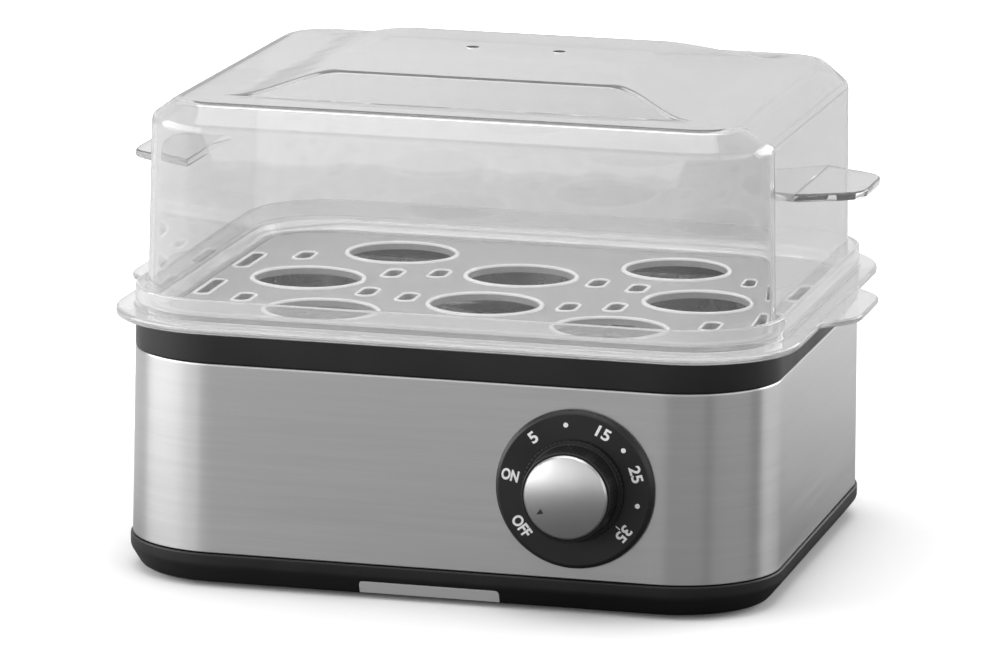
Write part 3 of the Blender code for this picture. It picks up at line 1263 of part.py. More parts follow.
def add_frame(name, location, parent=None):
    """An empty that carries pieces."""
    frame = bpy.data.objects.new(name, None)
    bpy.context.scene.collection.objects.link(frame)
    frame.location = location
    frame.parent = parent
    return frame


def main():
    """Build every piece on the body's frame, and the knob on the timer's axis."""
    clear_scene()
    body = add_frame("body_frame", (0, BODY_SHIFT, 0))
    timer_axis = add_frame("timer_axis", (DIAL_X, 0, DIAL_Z), body)
    for make in (
        make_base, make_insert, make_feet, make_base_screws, make_sleeve, make_collar, make_gasket,
        make_pan, make_spreader, make_element, make_clamp, make_clamp_nuts, make_thermostat, make_fuse,
        make_timer_plate, make_timer, make_timer_screws, make_bell, make_dial, make_gland, make_block,
        make_leads, make_tray, make_rack, make_lid,
    ):
        make(body)
    for make in (make_shaft, make_knob_skirt, make_knob_cap, make_knob_clip):
        make(timer_axis)


main()
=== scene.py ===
"""Looks of a household egg boiler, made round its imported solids.

A brushed steel body on a black base carries a timer knob. A clear tray, a grey egg rack and a clear lid with
a raised crown stand on it. Lengths are in metres, +Z is up and the dial faces -Y.
"""

import math
from typing import NamedTuple

import bmesh
import bpy
from mathutils import Matrix, Vector


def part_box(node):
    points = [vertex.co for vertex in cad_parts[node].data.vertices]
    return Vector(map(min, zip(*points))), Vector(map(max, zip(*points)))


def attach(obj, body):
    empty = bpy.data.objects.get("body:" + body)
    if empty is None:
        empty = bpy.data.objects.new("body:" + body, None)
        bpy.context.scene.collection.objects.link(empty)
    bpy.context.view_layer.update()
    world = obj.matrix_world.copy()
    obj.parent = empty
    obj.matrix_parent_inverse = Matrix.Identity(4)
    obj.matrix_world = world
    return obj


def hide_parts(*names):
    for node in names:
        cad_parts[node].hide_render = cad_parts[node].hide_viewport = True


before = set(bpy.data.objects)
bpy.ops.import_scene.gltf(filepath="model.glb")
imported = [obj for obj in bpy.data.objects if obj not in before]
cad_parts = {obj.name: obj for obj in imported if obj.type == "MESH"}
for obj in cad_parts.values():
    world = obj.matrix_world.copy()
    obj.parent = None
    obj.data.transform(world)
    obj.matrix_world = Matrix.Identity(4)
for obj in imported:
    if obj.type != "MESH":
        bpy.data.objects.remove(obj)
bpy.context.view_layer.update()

MM = 0.001
DEGREE = math.pi / 180

# Fineness of round shapes, as counts
CORNER_STEPS = 20
ROUND_STEPS = 96
SMALL_STEPS = 32
EDGE_STEPS = 3
CROWN_STEPS = 18
SLOT_END_STEPS = 12
BEAD_STEPS = 10
RIDGE_STEPS = 8
# Where a straight side has points, as shares of its length
SIDE_SHARES = (0.01, 0.2, 0.4, 0.6, 0.8, 0.99)
# A rounding takes a little less than half of a side, and a slot's end of its width
ROUNDING_LIMIT_SHARE = 0.49
SLOT_END_SHARE = 0.4995
# Edges that turn by more than this angle stay sharp, and points nearer than this distance become one
SHARP_ANGLE = 40 * DEGREE
WELD_DISTANCE = 0.001 * MM

# Gaps between pieces
SEAT_GAP = 0.3 * MM
RUN_GAP = 0.5 * MM
CUT_OVERRUN = 2.0 * MM


class Outline(NamedTuple):
    """A rounded rectangle seen from above, at one height."""

    half_width: float
    half_depth: float
    corner: float
    z: float

    def grown(self, side, front=None, corner=None):
        """The outline moved outwards at its sides and at its front and back."""
        front = side if front is None else front
        corner = self.corner + min(side, front) if corner is None else corner
        return Outline(self.half_width + side, self.half_depth + front, corner, self.z)

    def at(self, z):
        """The same outline at another height."""
        return self._replace(z=z)

    def ring(self):
        """The outline's points, anticlockwise from the rear end of its right side."""
        arcs = []
        for quarter, (sign_x, sign_y) in enumerate(((1, 1), (-1, 1), (-1, -1), (1, -1))):
            across = sign_x * (self.half_width - self.corner)
            along = sign_y * (self.half_depth - self.corner)
            arc = []
            for step in range(CORNER_STEPS + 1):
                angle = (quarter + step / CORNER_STEPS) * math.pi / 2
                x = across + self.corner * math.cos(angle)
                y = along + self.corner * math.sin(angle)
                arc.append(Vector((x, y, self.z)))
            arcs.append(arc)
        points = []
        for arc, following in zip(arcs, arcs[1:] + arcs[:1]):
            points += arc
            points += [arc[-1].lerp(following[0], share) for share in SIDE_SHARES]
        return points


# Steel sleeve, read from the frame
SLEEVE_LOW, SLEEVE_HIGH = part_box("steel_sleeve")
MIDDLE = Vector(((SLEEVE_LOW.x + SLEEVE_HIGH.x) / 2, (SLEEVE_LOW.y + SLEEVE_HIGH.y) / 2, 0))
SLEEVE_Z = SLEEVE_LOW.z
SLEEVE_TOP_Z = SLEEVE_HIGH.z
BODY_CORNER = 37.7 * MM
SLEEVE_SPREAD = 0.8 * MM
SLEEVE_SHEET = 0.9 * MM
SLEEVE_EDGE = 0.8 * MM
SLEEVE_FOOT = Outline(
    (SLEEVE_HIGH.x - SLEEVE_LOW.x) / 2,
    (SLEEVE_HIGH.y - SLEEVE_LOW.y) / 2,
    BODY_CORNER + SLEEVE_SPREAD,
    SLEEVE_Z,
)
SLEEVE_TOP = SLEEVE_FOOT.grown(-SLEEVE_SPREAD).at(SLEEVE_TOP_Z)

# Black base
FOOT_PROUD = 1.5 * MM
BASE_RIM_HEIGHT = 4.7 * MM
BASE_RIM_PROUD = 0.8 * MM
BASE_RIM_ROUND = 0.6 * MM
BASE_SIDE_TUCK = 5.0 * MM
BASE_FRONT_TUCK = 2.8 * MM
BASE_WALL = 2.4 * MM
BASE_FLOOR = 2.6 * MM
BASE_UPSTAND = 6.0 * MM
BASE_BOTTOM_ROUND = 1.8 * MM
PILLAR_INSET = 20.0 * MM
PILLAR_RADIUS = 5.0 * MM
PILLAR_HEIGHT = 68.0 * MM
VENT_LENGTH = 42.0 * MM
VENT_WIDTH = 4.0 * MM
VENT_PITCH = 9.0 * MM
VENT_COUNT = 5
BASE_RIM_Z = SLEEVE_Z - SEAT_GAP
FLOOR_TOP = FOOT_PROUD + BASE_FLOOR
BASE_RIM = SLEEVE_FOOT.grown(BASE_RIM_PROUD)
BASE_BOTTOM = BASE_RIM.grown(-BASE_SIDE_TUCK, -BASE_FRONT_TUCK).at(FOOT_PROUD)
PILLAR_X = SLEEVE_TOP.half_width - PILLAR_INSET
PILLAR_Y = SLEEVE_TOP.half_depth - PILLAR_INSET
PILLAR_TOP_Z = FOOT_PROUD + PILLAR_HEIGHT

# Grey insert in the front of the base
INSERT_LENGTH = 52.0 * MM
INSERT_HEIGHT = 4.9 * MM
INSERT_THICKNESS = 1.2 * MM
INSERT_CORNER = 1.6 * MM
INSERT_BOTTOM_MARGIN = 0.5 * MM
INSERT_EDGE = 0.25 * MM

# Rubber feet and the screws beside them
FOOT_RADIUS = 7.0 * MM
FOOT_STEM_RADIUS = 2.5 * MM
FOOT_STEM_PROUD = 1.6 * MM
FOOT_EDGE = 0.5 * MM
FOOT_INSET = 31.0 * MM
FOOT_X = BASE_BOTTOM.half_width - FOOT_INSET
FOOT_Y = BASE_BOTTOM.half_depth - FOOT_INSET
SCREW_RADIUS = 1.5 * MM
SCREW_LENGTH = 16.0 * MM
SCREW_HEAD_RADIUS = 2.8 * MM
SCREW_ABOVE_PILLAR = 10.0 * MM
SCREW_TOP_Z = PILLAR_TOP_Z + SCREW_ABOVE_PILLAR
SCREW_SEAT_Z = SCREW_TOP_Z - SCREW_LENGTH

# Black collar over the sleeve
COLLAR_BAND = 11.2 * MM
COLLAR_EDGE = 0.7 * MM
COLLAR_SKIRT = 6.0 * MM
COLLAR_WALL = 2.0 * MM
COLLAR_SHELF_DROP = 8.6 * MM
COLLAR_SHELF_THICKNESS = 2.5 * MM
SHELF_SIDE_REACH = 19.0 * MM
SHELF_FRONT_REACH = 21.0 * MM
SHELF_CORNER = 26.0 * MM
BOSS_RADIUS = 4.5 * MM
COLLAR_Z = SLEEVE_TOP_Z + SEAT_GAP
COLLAR_TOP_Z = COLLAR_Z + COLLAR_BAND
SHELF_Z = COLLAR_TOP_Z - COLLAR_SHELF_DROP

# Clear tray
FLANGE_REACH_SIDE = 6.7 * MM
FLANGE_REACH_FRONT = 6.55 * MM
FLANGE_CORNER = 42.2 * MM
FLANGE_THICKNESS = 3.0 * MM
FLANGE_EDGE = 1.1 * MM
RIM_INSET_FRONT = 8.2 * MM
RIM_INSET_SIDE = 6.4 * MM
RIM_CORNER = 36.0 * MM
RIM_HEIGHT = 11.0 * MM
RIM_WALL = 1.8 * MM
LEDGE_HEIGHT = 4.6 * MM
LEDGE_SIDE = 5.0 * MM
LEDGE_FRONT = 7.2 * MM
WELL_DEPTH = 4.2 * MM
WELL_SLOPE_SIDE = 2.6 * MM
WELL_SLOPE_FRONT = 4.8 * MM
WELL_WALL = 1.7 * MM
LIP_REACH = 2.2 * MM
LIP_THICKNESS = 1.8 * MM
TRAY_ROUND = 0.7 * MM
TRAY_HANDLE_REACH = 11.8 * MM
TRAY_HANDLE_TIP = 43.0 * MM
TRAY_HANDLE_ROOT = 76.0 * MM
TRAY_HANDLE_STEP = 0.35 * MM
TRAY_HANDLE_CORNER = 3.5 * MM
HANDLE_ROOT_OVERLAP = 2.5 * MM
HANDLE_EDGE = 0.7 * MM
TRAY_Z = COLLAR_TOP_Z + SEAT_GAP
FLANGE_TOP_Z = TRAY_Z + FLANGE_THICKNESS
RIM_TOP_Z = TRAY_Z + RIM_HEIGHT
LEDGE_Z = TRAY_Z + LEDGE_HEIGHT
LIP_TOP_Z = TRAY_Z - WELL_DEPTH + LIP_THICKNESS
FLANGE = SLEEVE_TOP.grown(FLANGE_REACH_SIDE, FLANGE_REACH_FRONT, FLANGE_CORNER)
RIM = FLANGE.grown(-RIM_INSET_SIDE, -RIM_INSET_FRONT, RIM_CORNER)
RIM_INSIDE = RIM.grown(-RIM_WALL)
LEDGE_INSIDE = RIM_INSIDE.grown(-LEDGE_SIDE, -LEDGE_FRONT)
WELL_FOOT_INSIDE = LEDGE_INSIDE.grown(-WELL_SLOPE_SIDE, -WELL_SLOPE_FRONT)
WELL_TOP_OUTSIDE = LEDGE_INSIDE.grown(WELL_WALL)
WELL_FOOT_OUTSIDE = WELL_FOOT_INSIDE.grown(WELL_WALL)
LIP_INSIDE = WELL_FOOT_INSIDE.grown(-LIP_REACH)
TRAY_OPENING = WELL_TOP_OUTSIDE.grown(RUN_GAP + SEAT_GAP)
SHELF_INSIDE = TRAY_OPENING.grown(-SHELF_SIDE_REACH, -SHELF_FRONT_REACH, SHELF_CORNER)

# Water pan
GASKET_THICKNESS = 1.2 * MM
PAN_FLANGE = 8.0 * MM
PAN_SHEET = 0.8 * MM
PAN_DEPTH = 15.5 * MM
PAN_DRAFT = 2.5 * MM
PAN_BEND = 3.5 * MM
STUD_RADIUS = 1.8 * MM
STUD_SPACING = 36.0 * MM
STUD_LENGTH = 19.0 * MM
PAN_FLANGE_Z = SHELF_Z + SEAT_GAP + GASKET_THICKNESS + SEAT_GAP
PAN_FLOOR_Z = PAN_FLANGE_Z + PAN_SHEET - PAN_DEPTH
PAN_TOP = SHELF_INSIDE.grown(-SEAT_GAP - PAN_SHEET)
PAN_BOTTOM = PAN_TOP.grown(-PAN_DRAFT)

# Egg rack
RACK_THICKNESS = 2.2 * MM
RACK_SIDE_CLEARANCE = 0.7 * MM
RACK_EDGE = 0.5 * MM
EGG_HOLE_RADIUS = 20.0 * MM
EGG_RIM_BEAD = 0.95 * MM
SLOT_RIM_BEAD = 0.65 * MM
# How much longer and wider than its hole a bead's middle line is, in bead radii
BEAD_SPREAD = 2.1
CORNER_EGG_X = 54.0 * MM
CORNER_EGG_Y = 58.0 * MM
SIDE_EGG_X = 75.0 * MM
MIDDLE_EGG_Y = 28.0 * MM
SLOT_WIDTH = 5.5 * MM
SLOT_LENGTH = 14.0 * MM
OUTER_SLOT_X = 88.0 * MM
OUTER_SLOT_Y = 42.0 * MM
INNER_SLOT_X = 47.0 * MM
INNER_SLOT_Y = 18.5 * MM
CENTRE_SLOT_X = 30.5 * MM
CENTRE_SLOT_Y = 23.5 * MM
LONG_SLOT_LENGTH = 28.0 * MM
LONG_SLOT_WIDTH = 4.6 * MM
LONG_SLOT_X = 105.5 * MM
LONG_SLOT_Y = 27.0 * MM
RACK_Z = LIP_TOP_Z + SEAT_GAP
RACK_TOP_Z = RACK_Z + RACK_THICKNESS
RACK = WELL_FOOT_INSIDE.grown(-RACK_SIDE_CLEARANCE)

# Clear lid
LID_WALL = 1.8 * MM
LID_SIDE_CLEARANCE = 2.0 * MM
LID_FRONT_CLEARANCE = 4.1 * MM
LID_FOOT_CORNER = 33.0 * MM
LID_WALL_HEIGHT = 67.6 * MM
LID_SIDE_DRAFT = 1.5 * MM
LID_FRONT_DRAFT = 3.4 * MM
LID_SHOULDER_CORNER = 28.0 * MM
LID_CHAMFER_SIDE = 10.7 * MM
LID_CHAMFER_FRONT = 7.0 * MM
LID_CHAMFER_HEIGHT = 7.8 * MM
LID_CREST_CORNER = 15.8 * MM
LID_ROUND = 1.8 * MM
CROWN_SIDE_INSET = 18.3 * MM
CROWN_FRONT_INSET = 15.2 * MM
CROWN_FOOT_RISE = 0.5 * MM
CROWN_RISE = 7.8 * MM
CROWN_TOP_WIDTH = 101.0 * MM
CROWN_TOP_DEPTH = 100.0 * MM
CROWN_CORNER = 2.5 * MM
CREASE_Y = -16.0 * MM
CREASE_DROP = 0.35 * MM
VENT_HOLE_RADIUS = 2.4 * MM
VENT_HOLE_X = 16.5 * MM
VENT_HOLE_Y = 14.0 * MM
LID_HANDLE_HEIGHT = 43.7 * MM
LID_HANDLE_THICKNESS = 3.0 * MM
LID_HANDLE_REACH = 23.2 * MM
LID_HANDLE_TIP = 38.0 * MM
LID_HANDLE_ROOT = 64.0 * MM
LID_HANDLE_CORNER = 4.0 * MM
LID_Z = LEDGE_Z + SEAT_GAP
LID_SHOULDER_Z = LID_Z + LID_WALL_HEIGHT
LID_CREST_Z = LID_SHOULDER_Z + LID_CHAMFER_HEIGHT
CROWN_FOOT_Z = LID_CREST_Z + CROWN_FOOT_RISE
CROWN_TOP_Z = CROWN_FOOT_Z + CROWN_RISE
LID_FOOT = RIM_INSIDE.grown(-LID_SIDE_CLEARANCE, -LID_FRONT_CLEARANCE, LID_FOOT_CORNER).at(LID_Z)
LID_SHOULDER = LID_FOOT.grown(-LID_SIDE_DRAFT, -LID_FRONT_DRAFT, LID_SHOULDER_CORNER).at(LID_SHOULDER_Z)
LID_CREST = LID_SHOULDER.grown(-LID_CHAMFER_SIDE, -LID_CHAMFER_FRONT, LID_CREST_CORNER).at(LID_CREST_Z)
CROWN_FOOT = LID_CREST.grown(-CROWN_SIDE_INSET, -CROWN_FRONT_INSET, CROWN_CORNER).at(CROWN_FOOT_Z)

# Dial, knob and cap on the front, as reach in front of the body's middle
DIAL_SIDE_SPACE = 66.4 * MM
DIAL_HEIGHT = 33.3 * MM
DIAL_RADIUS = 29.0 * MM
DIAL_THICKNESS = 2.4 * MM
DIAL_BEVEL = 1.3 * MM
DIAL_POCKET_DEPTH = 1.6 * MM
TIMER_SCREW_SPACING = 28.0 * MM
TIMER_NECK_RADIUS = 5.0 * MM
SHAFT_RADIUS = 3.0 * MM
SHAFT_FLAT = 2.2 * MM
SHAFT_IN_KNOB = 9.0 * MM
KNOB_FOOT_RADIUS = 18.6 * MM
KNOB_BACK_RADIUS = 16.9 * MM
KNOB_FRONT_RADIUS = 16.3 * MM
KNOB_HEIGHT = 12.0 * MM
KNOB_FOOT_HEIGHT = 2.0 * MM
KNOB_RIDGES = 66
RIDGE_RADIUS = 0.35 * MM
KNOB_WALL = 2.2 * MM
KNOB_HOLLOW_DEPTH = 8.5 * MM
KNOB_HUB_WALL = 2.2 * MM
KNOB_EDGE = 0.35 * MM
CAP_PROUD = 1.0 * MM
CAP_THICKNESS = 2.4 * MM
CAP_RADIUS = 15.3 * MM
CAP_BEVEL = 0.7 * MM
CAP_BEVEL_ROUND = 0.14 * MM
CAP_DOME = 0.4 * MM
DIAL_X = SLEEVE_TOP.half_width - DIAL_SIDE_SPACE
DIAL_Z = SLEEVE_Z + DIAL_HEIGHT
DIAL_BACK = SLEEVE_FOOT.half_depth + SEAT_GAP
DIAL_FACE = DIAL_BACK + DIAL_THICKNESS
KNOB_BACK = DIAL_FACE + RUN_GAP
KNOB_FRONT = KNOB_BACK + KNOB_HEIGHT
CAP_EDGE = KNOB_FRONT + CAP_PROUD

# Printed marks, with directions and turns in degrees
MARK_HEIGHT = 4.3 * MM
# How far the font's strokes are widened, as a share of its size
MARK_WEIGHT_SHARE = 0.03
MARK_SHEET = 0.06 * MM
MARK_CLEARANCE = 0.02 * MM
DOT_RADIUS = 0.9 * MM
MARK_RADIUS = 23.7 * MM
DIAL_WORDS = (
    # text, direction from the dial's middle, turn of its letters, share of the font's width
    ("5", 129.8, 39.8, 1.1),
    ("15", 63.8, -26.2, 1.15),
    ("25", 17.7, -72.3, 1.1),
    ("35", -38.6, -128.6, 1.1),
    ("ON", 170.4, -12.0, 0.74),
    ("OFF", -142.6, -52.0, 0.85),
)
DIAL_DOTS = (98.0, 41.1, -10.4)
TICK_DIRECTION = -37.9
TICK_RADIUS = 20.7 * MM
TICK_LENGTH = 2.0 * MM
TICK_WIDTH = 0.35 * MM
POINTER_RADIUS = 11.0 * MM
POINTER_DIRECTION = 212.4
POINTER_LENGTH = 2.4 * MM
POINTER_WIDTH = 2.0 * MM

# Cord gland in the rear of the sleeve
GLAND_FLANGE_RADIUS = 8.5 * MM
GLAND_FLANGE = 2.2 * MM
GLAND_NECK_RADIUS = 6.2 * MM
GLAND_BORE_RADIUS = 4.0 * MM
GLAND_INNER_LIP = 3.0 * MM
GLAND_EDGE = 0.5 * MM
GLAND_LOW, GLAND_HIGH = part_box("cord_gland")
GLAND_X = (GLAND_LOW.x + GLAND_HIGH.x) / 2
GLAND_Z = (GLAND_LOW.z + GLAND_HIGH.z) / 2


def mesh_from(name, shape):
    """Turns a bmesh into a mesh with its faces pointing out."""
    bmesh.ops.recalc_face_normals(shape, faces=shape.faces)
    mesh = bpy.data.meshes.new(name)
    shape.to_mesh(mesh)
    shape.free()
    return mesh


def skin(name, rings, closed=False):
    """Skins rings of equal count. A closed skin joins its last ring to its first, an open one is capped."""
    shape = bmesh.new()
    loops = [[shape.verts.new(point) for point in ring] for ring in rings]
    pairs = list(zip(loops, loops[1:]))
    if closed:
        pairs.append((loops[-1], loops[0]))
    for lower, upper in pairs:
        count = len(lower)
        for index in range(count):
            following = (index + 1) % count
            shape.faces.new((lower[index], lower[following], upper[following], upper[index]))
    if not closed:
        shape.faces.new(loops[0])
        shape.faces.new(loops[-1])
    return mesh_from(name, shape)


def eased(section, closed=True):
    """Rounds the corners of a section of (point, radius) pairs. A point may have any count of numbers."""
    points = [Vector(point) for point, _ in section]
    rounded = []
    for index, (point, radius) in enumerate(zip(points, (radius for _, radius in section))):
        at_end = not closed and index in (0, len(points) - 1)
        if not radius or at_end:
            rounded.append(point)
            continue
        before = points[index - 1]
        after = points[(index + 1) % len(points)]
        start = point.lerp(before, eased_share(before - point, radius))
        end = point.lerp(after, eased_share(after - point, radius))
        for step in range(EDGE_STEPS + 1):
            share = step / EDGE_STEPS
            rounded.append(start.lerp(point, share).lerp(point.lerp(end, share), share))
    return rounded


def eased_share(side, radius):
    """How far along a side its rounding reaches, judged by its first and last numbers."""
    return min(radius / math.hypot(side[0], side[-1]), ROUNDING_LIMIT_SHARE)


def lofted(name, section, closed=True):
    """A shell or block skinned from (outline, edge radius) pairs."""
    return skin(name, [Outline(*point).ring() for point in eased(section, closed)], closed)


def circle(radius, height, steps=ROUND_STEPS, centre=(0, 0), flat=None):
    """Points of a circle round +Z, with an optional flat side at +X."""
    points = []
    for step in range(steps):
        angle = 2 * math.pi * step / steps
        x = radius * math.cos(angle)
        if flat is not None:
            x = min(x, flat)
        points.append((centre[0] + x, centre[1] + radius * math.sin(angle), height))
    return points


def turned(name, section, closed=False, steps=ROUND_STEPS, centre=(0, 0)):
    """A body turned round +Z from ((radius, height), edge radius) pairs."""
    rings = [circle(radius, height, steps, centre) for radius, height in eased(section, closed)]
    return skin(name, rings, closed)


def rod(radius, low, high, centre=(0, 0)):
    """A plain round cutter or pillar."""
    return turned("rod", (((radius, low), 0), ((radius, high), 0)), steps=SMALL_STEPS, centre=centre)


def prism(name, points, low, high):
    """A flat outline of (x, y) points raised from low to high."""
    return skin(name, [[(x, y, height) for x, y in points] for height in (low, high)])


def facing(mesh, place_x, place_z, quarter_turns=1):
    """Turns a mesh made round +Z towards the front, or with -1 quarter turns towards the back."""
    turn = Matrix.Rotation(quarter_turns * math.pi / 2, 4, "X")
    mesh.transform(Matrix.Translation((place_x, 0, place_z)) @ turn)
    return mesh


def joined(meshes):
    """Several meshes in one, as separate bodies."""
    shape = bmesh.new()
    for mesh in meshes:
        shape.from_mesh(mesh)
    return mesh_from("joined", shape)


def four_corners(x, y):
    """One place in each quarter."""
    return [(sign_x * x, sign_y * y) for sign_x in (1, -1) for sign_y in (1, -1)]


def new_object(name, data):
    """Puts a mesh, a text, a lamp or a camera in the scene."""
    made = bpy.data.objects.new(name, data)
    bpy.context.scene.collection.objects.link(made)
    return made


def evaluated_mesh(piece):
    """The mesh that a piece's modifiers or its letters come to."""
    bpy.context.view_layer.update()
    return bpy.data.meshes.new_from_object(piece.evaluated_get(bpy.context.evaluated_depsgraph_get()))


def applied(piece):
    """Replaces a piece's mesh by what its modifiers make of it."""
    shaped = evaluated_mesh(piece)
    piece.modifiers.clear()
    piece.data = shaped
    return piece


def combine(piece, operation, tools):
    """Adds tool meshes to a piece or cuts them away."""
    helper = new_object("helper", joined(tools))
    step = piece.modifiers.new("shape", "BOOLEAN")
    step.operation = operation
    step.solver = "EXACT"
    step.object = helper
    applied(piece)
    bpy.data.objects.remove(helper, do_unlink=True)


def rounded(piece, width):
    """Rounds the edges of a simple piece."""
    step = piece.modifiers.new("edge", "BEVEL")
    step.width = width
    step.segments = EDGE_STEPS
    step.limit_method = "ANGLE"
    step.angle_limit = SHARP_ANGLE
    return applied(piece)


def finished(piece, body, material, nodes=()):
    """Puts a piece made round the body's middle in its place and ties it to the frame."""
    piece.data.transform(Matrix.Translation(MIDDLE))
    piece.data.materials.clear()
    piece.data.materials.append(material)
    piece.data.shade_smooth()
    piece.data.set_sharp_from_angle(angle=SHARP_ANGLE)
    step = piece.modifiers.new("shading", "WEIGHTED_NORMAL")
    step.keep_sharp = True
    applied(piece)
    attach(piece, body)
    if nodes:
        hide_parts(*nodes)


# Node helpers


def add(tree, kind, inputs=None, **settings):
    """Adds a node with its settings, and sets or links its inputs by name or number."""
    node = tree.nodes.new(kind)
    for name, value in settings.items():
        setattr(node, name, value)
    for name, value in (inputs or {}).items():
        sources = value if isinstance(value, list) else [value]
        for source in sources:
            if isinstance(source, bpy.types.NodeSocket):
                tree.links.new(source, node.inputs[name])
            else:
                node.inputs[name].default_value = source
    return node


def linear(code):
    """Turns an sRGB hex colour into Blender's linear colour."""
    shades = [int(code[place:place + 2], 16) / 255 for place in (1, 3, 5)]
    return (*(s / 12.92 if s <= 0.04045 else ((s + 0.055) / 1.055) ** 2.4 for s in shades), 1.0)


def new_material(name):
    """An empty material with its tree and an object-space place."""
    material = bpy.data.materials.new(name)
    material.use_nodes = True
    tree = material.node_tree
    tree.nodes.clear()
    place = add(tree, "ShaderNodeTexCoord").outputs["Object"]
    return material, tree, place


def noise(tree, place, size, detail=2.0):
    """A noise whose features are about one size across, or have a size for each axis."""
    if isinstance(size, tuple):
        finer = tuple(1 / length for length in size)
        place = add(tree, "ShaderNodeMapping", {"Vector": place, "Scale": finer}).outputs[0]
        size = 1.0
    return add(tree, "ShaderNodeTexNoise", {"Vector": place, "Scale": 1 / size, "Detail": detail}).outputs[0]


def between(tree, share, low, high):
    """Spreads a share of 0.3 to 0.7, which is most of a noise, over low to high."""
    inputs = {"Value": share, "From Min": 0.3, "From Max": 0.7, "To Min": low, "To Max": high}
    return add(tree, "ShaderNodeMapRange", inputs).outputs[0]


def blended(tree, share, first, second):
    """A colour between two others, each a hex colour or a node's output."""
    first, second = [linear(colour) if isinstance(colour, str) else colour for colour in (first, second)]
    return add(tree, "ShaderNodeMix", {0: share, 6: first, 7: second}, data_type="RGBA").outputs[2]


def surface(tree, **sockets):
    """Ends a material in one Principled shader, given its sockets with _ for each space."""
    inputs = {name.replace("_", " "): value for name, value in sockets.items()}
    shader = add(tree, "ShaderNodeBsdfPrincipled", inputs).outputs[0]
    add(tree, "ShaderNodeOutputMaterial", {"Surface": shader})


def relief(tree, height, depth):
    """Bumps of a real depth."""
    return add(tree, "ShaderNodeBump", {"Height": height, "Distance": depth}).outputs[0]


# Materials

# Sizes of their patterns
FLOW_SIZE = 22 * MM
STAIN_SIZE = 14 * MM
WAVE_SIZE = 18 * MM
WAVE_DEPTH = 0.02 * MM
RUBBING_SIZE = 5 * MM
PAPER_MOTTLE = 90 * MM
# Real brushing scratches are about 0.05 mm wide, so they are drawn several times coarser to show at all
SCRATCH_SIZES = (26 * MM, 26 * MM, 0.3 * MM)
STREAK_SIZES = (90 * MM, 90 * MM, 2.4 * MM)
SCRATCH_DEPTH = 0.0006 * MM
# Real tool marks on the cap are about 0.1 mm apart, so they are drawn coarser too
RING_PITCH = 0.4 * MM
RING_DEPTH = 0.0003 * MM
# The cap's solid is too thin for its full crown, so this relief bends its reflections further
CAP_CROWN = 2.4 * MM
# How far roughness falls and rises about its middle value
MOULDED_SHEEN = (-0.05, 0.07)
METAL_SHEEN = (-0.06, 0.08)


def moulded_plastic(name, dark, light, gloss, grain, depth):
    """Injection-moulded plastic: a fine spark-eroded grain, and a slow change of sheen from its flow."""
    material, tree, place = new_material(name)
    texture = noise(tree, place, grain, 3.0)
    flow = noise(tree, place, FLOW_SIZE)
    surface(
        tree,
        Base_Color=blended(tree, flow, dark, light),
        Roughness=between(tree, flow, *[gloss + change for change in MOULDED_SHEEN]),
        IOR=1.5,
        Normal=relief(tree, texture, depth),
    )
    return material


def brushed_stainless():
    """Stainless sheet, belt-brushed along its length: long fine scratches that smear reflections upright."""
    material, tree, place = new_material("brushed_stainless_sheet")
    fine = noise(tree, place, SCRATCH_SIZES)
    broad = noise(tree, place, STREAK_SIZES, 1.0)
    streaks = add(tree, "ShaderNodeMath", {0: fine, 1: broad}, operation="ADD").outputs[0]
    streaks = add(tree, "ShaderNodeMath", {0: streaks, 1: 0.5}, operation="MULTIPLY").outputs[0]
    surface(
        tree,
        Base_Color=blended(tree, between(tree, streaks, 0.0, 1.0), "#c6c6c6", "#cecece"),
        Metallic=1.0,
        Roughness=between(tree, streaks, 0.32, 0.36),
        Anisotropic=0.8,
        Anisotropic_Rotation=0.25,
        Normal=relief(tree, fine, SCRATCH_DEPTH),
    )
    return material


def worked_metal(name, dark, light, gloss, marks, depth):
    """Bare or plated metal: fine marks of casting, rolling or drawing, and faint broader stains."""
    material, tree, place = new_material(name)
    lines = noise(tree, place, marks, 3.0)
    stains = noise(tree, place, STAIN_SIZE)
    surface(
        tree,
        Base_Color=blended(tree, stains, dark, light),
        Metallic=1.0,
        Roughness=between(tree, lines, *[gloss + change for change in METAL_SHEEN]),
        Normal=relief(tree, lines, depth),
    )
    return material


def turned_aluminium():
    """Face-turned aluminium cap: satin, bright towards the top and darker below, with faint rings."""
    material, tree, place = new_material("face_turned_aluminium")
    centre = MIDDLE + Vector((DIAL_X, 0, DIAL_Z))
    offset = add(tree, "ShaderNodeVectorMath", {0: place, 1: tuple(centre)}, operation="SUBTRACT").outputs[0]
    flat = add(tree, "ShaderNodeVectorMath", {0: offset, 1: (1, 0, 1)}, operation="MULTIPLY").outputs[0]
    radius = add(tree, "ShaderNodeVectorMath", {0: flat}, operation="LENGTH").outputs["Value"]
    inputs = {"W": radius, "Scale": 1 / RING_PITCH, "Detail": 2.0}
    rings = add(tree, "ShaderNodeTexNoise", inputs, noise_dimensions="1D").outputs[0]
    share = add(tree, "ShaderNodeMath", {0: radius, 1: CAP_RADIUS}, operation="DIVIDE").outputs[0]
    square = add(tree, "ShaderNodeMath", {0: share, 1: share}, operation="MULTIPLY").outputs[0]
    grooves = add(tree, "ShaderNodeMath", {0: rings, 1: RING_DEPTH}, operation="MULTIPLY").outputs[0]
    inputs = {0: square, 1: -CAP_CROWN, 2: grooves}
    height_in_metres = add(tree, "ShaderNodeMath", inputs, operation="MULTIPLY_ADD").outputs[0]
    surface(
        tree,
        Base_Color=blended(tree, rings, "#cccccc", "#d2d2d2"),
        Metallic=1.0,
        Roughness=between(tree, rings, 0.36, 0.4),
        Normal=relief(tree, height_in_metres, 1.0),
    )
    return material


